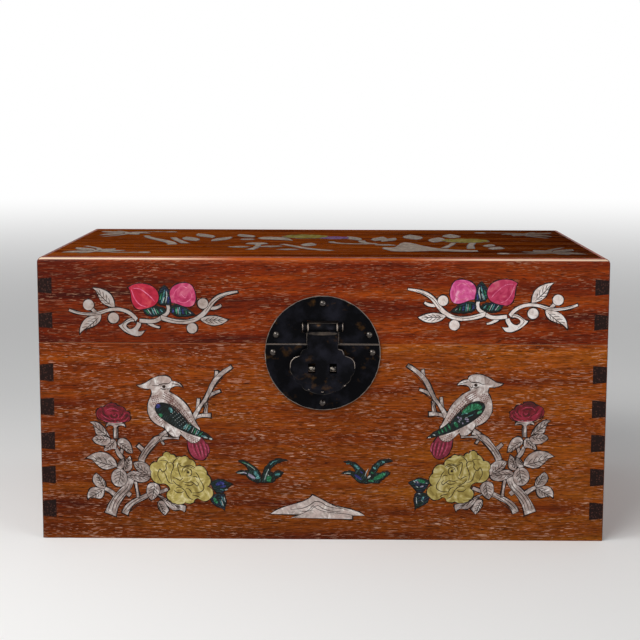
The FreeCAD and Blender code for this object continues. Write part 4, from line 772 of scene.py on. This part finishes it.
lay_lines("feathers_case", feather_lines + right_scene(feather_lines), on_front, feather_wax,
          "case")

sprig_lines = (leaf_veins((-110.8, 125.6), (-119.9, 134.8), 6.0)
               + leaf_veins((-117.4, 120.0), (-127.4, 111.8), 6.0)
               + leaf_veins((-63.6, 118.4), (-51.0, 118.2), 4.6)
               + [(0.36, points) for points in (
                   [(-132.0, 123.0), (-125.6, 121.6), (-119.0, 121.8), (-113.0, 123.6)],
                   [(-98.6, 118.6), (-101.8, 118.2), (-105.4, 115.4), (-102.0, 111.6)],
                   [(-83.0, 119.2), (-75.6, 117.6), (-67.0, 118.8)],
                   [(-61.8, 122.8), (-57.0, 128.8), (-49.0, 132.8)])])
lay_lines("engraving_lid", sprig_lines + right_sprig(sprig_lines), on_front, wax, "lid")

top_lines = [vein for leaf in (
    ((-76, 98), (-84, 126), 9), ((-68, 121), (-79, 150), 9), ((-66, 97), (-57, 126), 8),
    ((-44, 124), (-53, 146), 9), ((-42, 61), (-54, 60), 8), ((-36, 61), (-24, 67), 8),
    ((-14, 46), (-26, 46), 7), ((-10, 66), (-8, 87), 8), ((20, 106), (14, 133), 8),
    ((30, 102), (35, 130), 8), ((34, 98), (42, 122), 7), ((29, 78), (41, 73), 8),
    ((54, 112), (52, 146), 11), ((77, 124), (77, 151), 10), ((64, 94), (69, 128), 9),
    ((92, 66), (96, 82), 6), ((94, 50), (99, 66), 8)) for vein in leaf_veins(*leaf, pairs=5)]
corner_lines = [vein for leaf in (
    ((-126, 34), (-141, 24), 9), ((-126, 37), (-138, 52), 8), ((-123, 34), (-116, 47), 8),
    ((-122, 31), (-109, 37), 7)) for vein in leaf_veins(*leaf)]
# rings of scalloped petals: radius * share * (1 + 0.14 * |sin(lobes * angle / 2 + turned)|)
round_the_head = np.linspace(0, 2 * np.pi, 60)
for middle, radius, lobes in (((-12, 131), 14, 9), ((83, 105), 14, 9), ((6, 122), 9, 6)):
    for share, turned in ((0.70, 0.3), (0.44, 0.9), (0.20, 1.6)):
        petal = radius * share * (1 + 0.14 * np.abs(np.sin(lobes * round_the_head / 2 + turned)))
        ring = np.stack([petal * np.cos(round_the_head), petal * np.sin(round_the_head)], axis=1)
        top_lines.append((0.45, np.array(middle) + ring))
top_lines += [(0.5, [(42, 66), (46, 58), (52, 50), (62, 46), (76, 42)]),
              (0.5, [(45, 80), (47, 70), (52, 60)]), (1.4, [(47.4, 88.2), (48.6, 88.0)]),
              (0.5, [(-37, 119), (-31, 121), (-26, 114), (-22, 106)])]
lay_lines("engraving_top", top_lines + corner_lines + other_side(corner_lines), on_top, wax,
          "lid")


# ------------------------------------------------------------------ flashes in the shell
# Growth layers that turn to bright green, teal, violet and silver in the abalone, and to a
# paler pink in the dyed shell. They are part of the polished plates and lie flush with them.

wing_flashes = {
    "violet": [(2.6, [(-88.0, 71.4), (-86.4, 73.2)])],
    "green": [
        (2.4, [(-87.0, 67.6), (-84.8, 67.0)]), (0.7, [(-72.2, 60.2), (-70.2, 63.0)]),
        (0.8, [(-68.4, 57.4), (-67.2, 60.4)]), (0.8, [(-66.0, 56.2), (-63.8, 58.2)])],
    "teal": [
        (1.9, [(-81.3, 71.6), (-80.4, 70.2), (-80.0, 68.8)]), (1.3, [(-73.7, 59.9), (-71.9, 62.6)]),
        (1.1, [(-71.6, 58.9), (-69.9, 61.6)]), (0.7, [(-66.8, 57.0), (-65.4, 59.2)]),
        (0.9, [(-64.6, 56.2), (-61.6, 56.0)])],
    "silver": [
        (0.45, [(-72.8, 59.4), (-71.2, 62.4)]), (0.4, [(-69.6, 57.9), (-68.2, 61.0)]),
        (0.4, [(-67.6, 56.6), (-66.4, 59.6)]), (0.7, [(-63.4, 55.7), (-60.8, 55.1)]),
        (1.0, [(-60.2, 54.9), (-58.6, 54.5)])]}
# scales on the middle of the wing: four rows of grey flecks along it
wing_flashes["silver"] += rows_of_cuts(0.42, (-80.6, 67.6), (1.15, -1.45), (0.95, 0.75),
                                       (0.35, 0.12), 6, 4)
# the right wing shows a green shoulder, a lilac middle and green bars
right_wing_flashes = {
    "green": [
        (4.0, [(-87.2, 70.6), (-84.0, 71.3), (-80.8, 70.2), (-77.0, 67.6)]),
        (1.8, [(-87.2, 69.2), (-85.0, 67.4)]), (2.2, [(-74.6, 60.4), (-72.8, 62.8)]),
        (1.1, [(-70.9, 58.7), (-69.4, 61.7)]), (1.0, [(-68.9, 57.9), (-67.6, 60.4)]),
        (0.9, [(-67.0, 57.2), (-65.9, 59.2)]), (0.9, [(-65.2, 56.6), (-64.3, 58.2)])],
    "teal": [
        (0.6, [(-76.4, 66.9), (-78.2, 67.6), (-80.0, 67.6)]),
        (0.5, [(-80.1, 66.0), (-82.8, 67.0)])],
    "lilac": [
        (1.0, [(-74.2, 65.8), (-75.4, 65.2)]), (0.9, [(-76.2, 65.6), (-76.4, 64.0)]),
        (0.8, [(-77.0, 62.8), (-77.4, 61.8)]), (1.1, [(-78.2, 64.6), (-80.4, 64.4)]),
        (0.7, [(-79.0, 63.2), (-80.6, 63.5)]), (0.7, [(-74.8, 63.8), (-75.6, 62.8)])],
    "silver": [
        (0.7, [(-62.8, 55.9), (-61.4, 56.3)]), (0.6, [(-60.4, 54.9), (-58.9, 54.6)]),
        (0.35, [(-75.2, 64.6), (-75.9, 63.6)]), (0.35, [(-78.6, 65.4), (-79.8, 65.6)])]}
right_dark_leaf_flashes = {
    "green": [(2.0, [(-57.4, 30.3), (-55.4, 31.0), (-53.4, 31.4)])],
    "teal": [(0.8, [(-54.0, 31.8), (-51.6, 31.2)]), (1.2, [(-56.6, 22.8), (-55.6, 20.2)])],
    "lilac": [(0.9, [(-53.8, 30.0), (-52.8, 31.0)]), (0.9, [(-56.6, 28.4), (-54.6, 27.8)])],
    "silver": [
        (0.6, [(-52.2, 30.4), (-51.0, 31.2)]), (0.6, [(-53.6, 27.6), (-52.4, 28.4)]),
        (0.5, [(-58.6, 29.9), (-57.6, 29.9)]), (0.6, [(-54.8, 24.0), (-53.6, 24.2)]),
        (0.4, [(-56.4, 19.6), (-55.2, 20.6)]), (0.4, [(-52.6, 22.4), (-52.9, 18.6)])]}
dark_leaf_flashes = {
    "violet": [
        (2.2, [(-56.8, 29.4), (-54.6, 30.6), (-52.4, 30.4)]),
        (1.4, [(-54.6, 28.4), (-51.4, 29.0)])],
    "green": [(1.8, [(-57.8, 22.6), (-57.2, 20.9), (-56.0, 19.6)])],
    "teal": [
        (0.7, [(-54.6, 27.2), (-52.6, 26.6)]), (0.7, [(-54.8, 21.6), (-53.6, 18.4)]),
        (0.6, [(-53.9, 23.4), (-52.7, 20.8)])],
    "silver": [
        (0.8, [(-52.2, 26.9), (-50.6, 27.2)]), (0.45, [(-54.0, 21.8), (-52.9, 18.0)]),
        (0.5, [(-52.6, 23.0), (-51.8, 20.2)])]}
swallow_flashes = {
    "lilac": [
        (1.9, [(-39.6, 35.6), (-37.8, 34.4), (-35.8, 33.0)]),
        (0.8, [(-42.6, 36.6), (-40.2, 36.0)])],
    "green": [
        (3.2, [(-28.9, 34.8), (-28.0, 32.2)]), (1.4, [(-29.6, 32.4), (-27.4, 31.6)]),
        (0.6, [(-42.8, 42.1), (-39.6, 41.0), (-36.6, 38.9)])],
    "teal": [
        (2.0, [(-36.3, 37.4), (-35.2, 35.4), (-33.8, 34.2)]), (1.4, [(-35.6, 33.4), (-33.2, 33.8)]),
        (1.3, [(-25.3, 35.3), (-23.8, 35.5), (-22.6, 36.0)]),
        (0.6, [(-27.9, 40.6), (-26.2, 42.3), (-24.0, 43.0)])],
    "silver": [
        (0.5, [(-30.8, 32.4), (-29.8, 35.8), (-28.6, 38.4)]), (0.7, [(-29.0, 35.4), (-28.4, 33.8)]),
        (0.5, [(-45.4, 36.1), (-43.0, 36.3), (-41.4, 36.4)]),
        (0.45, [(-41.6, 41.8), (-38.6, 40.2), (-35.8, 37.9)])]}
right_swallow_flashes = {
    "violet": [
        (1.6, [(17.2, 35.6), (19.0, 34.4), (20.8, 33.0)]), (0.8, [(20.0, 37.6), (21.6, 36.4)])],
    "green": [
        (2.6, [(27.4, 33.0), (30.4, 34.6), (33.6, 36.4)]), (0.9, [(25.9, 37.2), (27.2, 36.2)]),
        (1.2, [(24.4, 32.4), (27.4, 32.2)])],
    "teal": [
        (1.5, [(16.8, 40.9), (18.6, 39.7), (19.6, 38.7)]), (1.2, [(27.0, 39.6), (28.6, 38.8)]),
        (1.3, [(29.0, 41.6), (30.6, 40.9)]), (1.1, [(31.6, 42.9), (33.2, 42.4)]),
        (0.7, [(12.6, 41.6), (14.4, 41.6)])],
    "silver": [
        (1.1, [(24.2, 33.6), (25.6, 35.2)]), (0.4, [(22.6, 34.6), (23.4, 37.0), (24.6, 39.2)]),
        (0.45, [(11.6, 36.2), (13.6, 36.4), (15.2, 36.3)])]}
peach_leaf_flashes = {
    "violet": [
        (0.8, [(-81.3, 127.2), (-81.0, 130.8)]), (0.9, [(-78.9, 124.6), (-78.6, 122.2)]),
        (0.8, [(-73.8, 124.4), (-73.4, 121.6)])],
    "green": [
        (0.7, [(-85.6, 128.8), (-84.6, 132.6)]), (0.9, [(-93.2, 123.6), (-91.2, 121.6)]),
        (0.8, [(-87.8, 124.4), (-86.2, 121.8)]), (0.9, [(-77.2, 125.2), (-76.8, 121.6)]),
        (0.7, [(-72.0, 123.8), (-71.6, 121.4)])],
    "teal": [
        (0.8, [(-84.9, 127.2), (-83.6, 131.4), (-83.0, 134.4)]),
        (0.8, [(-90.0, 124.8), (-88.4, 121.2)]), (0.8, [(-85.6, 124.2), (-84.2, 122.6)]),
        (0.8, [(-75.4, 125.3), (-75.0, 121.2)])],
    "silver": [
        (0.7, [(-82.6, 127.4), (-81.9, 131.2), (-82.2, 133.8)]),
        (0.45, [(-84.3, 127.2), (-83.2, 130.6)]), (0.5, [(-92.2, 124.2), (-90.2, 121.4)]),
        (0.45, [(-88.9, 124.8), (-87.2, 121.3)]), (0.4, [(-76.2, 125.2), (-75.9, 121.4)]),
        (0.4, [(-70.6, 122.8), (-69.2, 121.9)])]}
flash_finishes = {
    "green": ("#0e3a24", "#1d6b42", "#5aa883"), "teal": ("#25484b", "#488587", "#9cc9c4"),
    "violet": ("#17184a", "#28296c", "#565ca6"), "lilac": ("#6a6278", "#958ca2", "#beb6c8"),
    "silver": ("#7c8482", "#b4bdba", "#ebeeea")}
for hue, tones in flash_finishes.items():
    flash = dyed_shell("abalone_flash_" + hue, *tones, layer_mm=1.2)
    left, right, middle, sprig_flashes = (
        [stroke for part in parts for stroke in part.get(hue, [])]
        for parts in ((wing_flashes, dark_leaf_flashes),
                      (right_wing_flashes, right_dark_leaf_flashes),
                      (swallow_flashes, right_swallow_flashes), (peach_leaf_flashes,)))
    lay_lines("flashes_case_" + hue, left + right_scene(right) + middle, on_front, flash, "case",
              0.02)
    if sprig_flashes:
        lay_lines("flashes_lid_" + hue, sprig_flashes + right_sprig(sprig_flashes), on_front, flash,
                  "lid", 0.02)

tail_flashes = [(0.75, points) for points in (
    [(-69.3, 52.2), (-68.7, 48.8), (-66.9, 45.4)], [(-67.4, 52.6), (-66.4, 48.8), (-65.0, 44.7)],
    [(-65.4, 52.7), (-64.3, 48.6), (-63.4, 44.5)], [(-63.3, 52.6), (-62.2, 48.8), (-61.9, 45.1)],
    [(-61.6, 52.1), (-60.6, 49.4), (-60.6, 46.9)])]
flower_flashes = [(0.5, points) for points in (
    [(-119.0, 66.4), (-115.7, 64.2), (-110.4, 63.2), (-105.1, 64.2), (-103.0, 66.4)],
    [(-115.6, 68.7), (-114.0, 70.4), (-110.8, 70.7), (-107.9, 69.4)],
    [(-113.4, 67.2), (-112.2, 65.4), (-109.4, 65.2), (-108.2, 67.0), (-109.0, 68.8)],
    [(-117.8, 67.8), (-115.2, 66.0), (-112.4, 64.6)],
    [(-107.0, 65.2), (-105.8, 66.8), (-104.8, 68.4)],
    [(-111.6, 67.7), (-110.4, 66.9), (-109.8, 68.0)])]
lay_lines("crimson_layers_case", flower_flashes + right_scene(flower_flashes), on_front,
          dyed_shell("pale_crimson_shell", "#861e34", "#a6304a", "#c4566e", 1.2), "case",
          0.02)
lay_lines("rose_layers_case", tail_flashes + right_scene(tail_flashes), on_front,
          dyed_shell("pale_rose_shell", "#8e2440", "#a93c58", "#cb6a84", 1.2), "case",
          0.02)
peach_flashes = [(0.6, points) for points in (
    [(-100.6, 134.6), (-98.8, 129.8), (-96.2, 126.6), (-93.0, 125.4)],
    [(-99.8, 135.2), (-95.6, 134.6), (-90.6, 130.8), (-88.4, 128.2)],
    [(-78.6, 130.8), (-77.2, 134.0), (-73.8, 136.2), (-70.4, 135.0)],
    [(-76.6, 128.6), (-72.6, 127.6), (-69.0, 130.2), (-69.4, 133.6)],
    [(-74.6, 132.4), (-72.4, 130.2), (-71.4, 131.8)])]
lay_lines("rose_layers_lid", peach_flashes + right_sprig(peach_flashes), on_front,
          dyed_shell("pale_peach_shell", "#cf4f78", "#dd6c90", "#ee9db6", 1.2), "lid",
          0.02)


# ------------------------------------------------------------------ the lock and the hinges
# Round plates, hasp, staples and hinge leaves of sheet brass, fixed with dome-headed nails.
# Blackened and handled: nearly black, brown-gold where rubbed, bare and grey along the rims.
# The bare rims and bands are partly wear and partly painted highlights where arrises catch the
# light.

def blackened_brass(name, black, bare, bare_share=0.35, satin=(0.3, 0.5), patch_mm=8.0,
                    worn_from=(0.58, 0.80)):
    """Chemically blackened brass, worn back to bare metal in patches."""
    material, tree = empty_material(name)
    place = add_node(tree, "ShaderNodeTexCoord").outputs["Object"]
    worn_at = add_node(tree, "ShaderNodeMapping", {
        "Vector": place, "Scale": (1000 / patch_mm, 1000 / patch_mm, 1280 / patch_mm)})
    worn = add_node(tree, "ShaderNodeTexNoise", {
        "Vector": worn_at, "Scale": 1.0, "Detail": 4.0, "Roughness": 0.6})
    worn_share = add_node(tree, "ShaderNodeMapRange", {
        "Value": worn, "From Min": worn_from[0], "From Max": worn_from[1], "To Max": bare_share})
    # a grey-blue bloom of wax lies on the black in clouds of 12 mm, and it also stands in for a
    # painted sheen of reflected light
    bloom_and_sheen = add_node(tree, "ShaderNodeTexNoise", {
        "Vector": place, "Scale": 85.0, "Detail": 5.0, "Roughness": 0.6})
    bloom_and_sheen_share = add_node(tree, "ShaderNodeMapRange", {
        "Value": bloom_and_sheen, "From Min": 0.48, "From Max": 0.72, "To Max": 0.5})
    bloomed_and_sheened = add_node(tree, "ShaderNodeMix", {
        0: bloom_and_sheen_share, 6: linear(black), 7: linear("#292932")}, data_type="RGBA")
    colour = add_node(tree, "ShaderNodeMix", {
        0: worn_share, 6: bloomed_and_sheened, 7: linear(bare)}, data_type="RGBA")
    scuff = add_node(tree, "ShaderNodeTexNoise", {"Vector": place, "Scale": 900.0, "Detail": 3.0})
    dull = add_node(tree, "ShaderNodeMapRange", {
        "Value": scuff, "To Min": satin[0], "To Max": satin[1]})
    skin = add_node(tree, "ShaderNodeBump", {
        "Height": scuff, "Strength": 0.25, "Distance": 0.00003})
    shader = add_node(tree, "ShaderNodeBsdfPrincipled", {
        "Base Color": colour, "Metallic": 1.0, "Roughness": dull, "Normal": skin})
    add_node(tree, "ShaderNodeOutputMaterial", {"Surface": shader})
    return material


black_brass = blackened_brass("blackened_brass", "#0e0e10", "#6a4920", 0.5)
nail_brass = blackened_brass("rubbed_nail_brass", "#4a4541", "#a2978b", 0.7, (0.1, 0.18))
staple_brass = blackened_brass("bare_staple_brass", "#2a2725", "#a39a8e", 1.0, (0.16, 0.3), 1.1,
                               (0.42, 0.62))
rim_wear_and_highlight_brass = blackened_brass("bare_brass_rims_and_highlights", "#776d65", "#d6cdc2", 1.0, (0.3, 0.45))
hasp_rim_wear_and_highlight_brass = blackened_brass("dull_brass_rim_and_highlight", "#1c1b1c", "#4d4740", 1.0, (0.3, 0.45), 11.0,
                                 (0.46, 0.60))
strap_highlight_brass = blackened_brass("strap_painted_highlight_brass", "#1b1a1b", "#50473f", 0.9, (0.3, 0.45), 6.0,
                              (0.36, 0.66))
give_finish([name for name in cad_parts
             if name.startswith(("lock_plate", "hinge_left", "hinge_right"))] + ["hasp"],
            black_brass)
give_finish([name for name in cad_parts
             if name.startswith(("lock_nails", "hinge_nails"))] + ["hasp_pin"], nail_brass)
give_finish(["lock_staples"], staple_brass)

# the arris of each plate, rubbed bare and painted as a highlight: a quarter of a millimetre in,
# then over the edge
rim_section = ((-0.26, 0.02), (0.03, 0.0), (0.05, -0.35))
hasp_section = ((-0.16, 0.02), (0.02, 0.0), (0.03, -0.25))
# the hasp hangs 8 degrees out from the plate
tilt = np.radians(8)
strap_out, strap_up = np.array([[0, -np.cos(tilt), np.sin(tilt)], [0, np.sin(tilt), np.cos(tilt)]])
# the upper plate stays black in the notch for the roll: (mm from the middle, mm up)
notch = (8.4, 119.0)
for name, node_names, facing, section, brass, body, gap in (
        ("lock_rim_upper", ["lock_plate_upper"], front, rim_section, rim_wear_and_highlight_brass, "lid", notch),
        ("lock_rim_lower", ["lock_plate_lower"], front, rim_section, rim_wear_and_highlight_brass, "case", None),
        ("hasp_rim", ["hasp"], strap_out, hasp_section, hasp_rim_wear_and_highlight_brass, "hasp", None),
        ("hinge_rims_case", ["hinge_left_case_leaf", "hinge_right_case_leaf"], backwards,
         rim_section, rim_wear_and_highlight_brass, "case", None),
        ("hinge_rims_lid", ["hinge_left_lid_leaf", "hinge_right_lid_leaf"], backwards,
         rim_section, rim_wear_and_highlight_brass, "lid", None)):
    edge_band(name, node_names, facing, section, brass, body, 0.4, True, gap)

# the top of the hasp is rolled round its axle, between two ears of the upper plate; sizes in mm
axle_low, axle_high = np.array(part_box("hasp_pin"))
axle = (axle_low + axle_high) / 2
strap_face, plate_thickness = 2.4, 1.2
roll_half, ear_radius, ear_reach = 7.9, 2.4, axle_high[0] * 1000
roll_section = np.array([(0.2, 2.42), (1.1, 2.22), (1.88, 1.62), (2.38, 0.86), (2.6, 0.0),
                         (2.76, -0.8), (2.7, -1.6), (2.42, -2.2), (2.2, -1.0), (1.9, 0.3),
                         (1.2, 1.2), (0.4, 1.7)])


def rolled_sleeve(name, stations, material, outline=roll_section, middle=(1.7, 0.4), body="hasp"):
    """An outline carried along the axle, in mm.

    At each (across, share) it is drawn 'share' times its size about its 'middle'.
    """
    across, share = np.array(stations).T
    section = middle + share[:, None, None] * (outline - middle)
    points = (axle + section[:, :, :1] * strap_out / 1000 + section[:, :, 1:] * strap_up / 1000
              + across[:, None, None] * np.array([1, 0, 0]) / 1000)
    row, column = (index.ravel() for index in np.mgrid[0:len(stations) - 1, 0:len(outline)])
    round_on = (column + 1) % len(outline)
    first, second = row * len(outline), (row + 1) * len(outline)
    faces = np.stack([first + column, first + round_on, second + round_on, second + column], axis=1)
    sleeve = surface_mesh(name, points.reshape(-1, 3), faces)
    sleeve.data.polygons.foreach_set("use_smooth", np.ones(len(faces), bool))
    sleeve.data.materials.append(material)
    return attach(sleeve, body)


rolled_sleeve("hasp_roll", ((-roll_half, 0.03), (-roll_half, 1.0), (roll_half, 1.0),
                            (roll_half, 0.03)), black_brass)
# painted glints: the ends of the roll and the outer ends of the ears are drawn in bright bare
# brass, a close sleeve over each
turns = np.linspace(np.pi / 2, -3 * np.pi / 2, 24, endpoint=False)
ear_outline = ear_radius * np.stack([np.cos(turns), np.sin(turns)], axis=1)
for name, outer, inner, where in (
        ("hasp_roll_end_glint_", roll_half + 0.05, 7.3, (roll_section, (1.7, 0.4), "hasp")),
        ("ear_end_glint_", ear_reach + 0.03, ear_reach - 0.4, (ear_outline, (0.0, 0.0), "lid"))):
    for side, word in ((-1, "left"), (1, "right")):
        low, high = sorted((side * outer, side * inner))
        rolled_sleeve(name + word, ((low, 0.9), (low, 1.02), (high, 1.02), (high, 0.9)), rim_wear_and_highlight_brass,
                      *where)


def on_strap(across, down, height):
    """Points on the front of the hasp's strap, 'down' from the axle and 'height' in front of it."""
    out = strap_face + height
    return axle * 1000 + np.stack([across, out * strap_out[1] - down * strap_up[1],
                                   out * strap_out[2] - down * strap_up[2]], axis=1)


def on_roll(across, down, height):
    """Points on the upper front of the roll, which lies 0.75 mm behind the strap's face."""
    return on_strap(across, down, height - 0.75)


def on_lid_wood(across, up, height):
    """Points on the wood of the lid front, 'height' in front of it."""
    return np.stack([across, wood_front - height, up], axis=1)


def on_plate(across, up, height):
    """Points on the face of the upper lock plate."""
    return on_lid_wood(across, up, height + plate_thickness)


# painted highlights: a paler band across the strap below the roll and a thin line along the top of
# the roll
lay_lines("hasp_painted_highlight_band", [(2.0, [(-7.7, 3.4), (0.0, 3.4), (7.7, 3.4)])], on_strap,
          strap_highlight_brass, "hasp", 0.02)
lay_lines("roll_painted_highlight", [(0.42, [(-7.2, -2.0), (-2.5, -2.05), (2.0, -1.95), (7.2, -2.0)])],
          on_roll, strap_highlight_brass, "hasp", 0.02)
# the sides of the notch below the roll, bare and painted as highlights
lay_lines("notch_bare_and_highlight_sides", [(0.3, [(edge, 106.3), (edge, 112.6)]) for edge in (-8.38, 8.38)],
          on_plate, rim_wear_and_highlight_brass, "lid", 0.02)
# the hasp's lobes are bare where a thumb lifts them, and these bands also paint the highlights on
# their arrises
lay_lines("hasp_bare_and_highlight_arris", [
    (0.42, [(-16.9, 21.6), (-16.6, 18.6), (-15.0, 16.4), (-12.0, 15.1)]),
    (0.42, [(8.2, 11.6), (10.2, 12.2), (11.1, 14.4)]),
    (0.42, [(11.9, 15.1), (15.0, 16.4), (16.6, 18.6), (16.9, 21.6)]),
    (0.5, [(11.2, 30.9), (12.2, 30.2)]), (0.36, [(-0.8, 33.9), (0.8, 33.9)]),
    (0.36, [(-7.6, 32.4), (-6.6, 32.9)])], on_strap, rim_wear_and_highlight_brass, "hasp", 0.05)
# painted shade: a dark sheet over the wood in the notch of the upper plate, behind the roll
lay_lines("notch_painted_shade", [(3.2, [(-9.4, 117.2), (0.0, 117.2), (9.4, 117.2)])], on_lid_wood, glue,
          "lid")
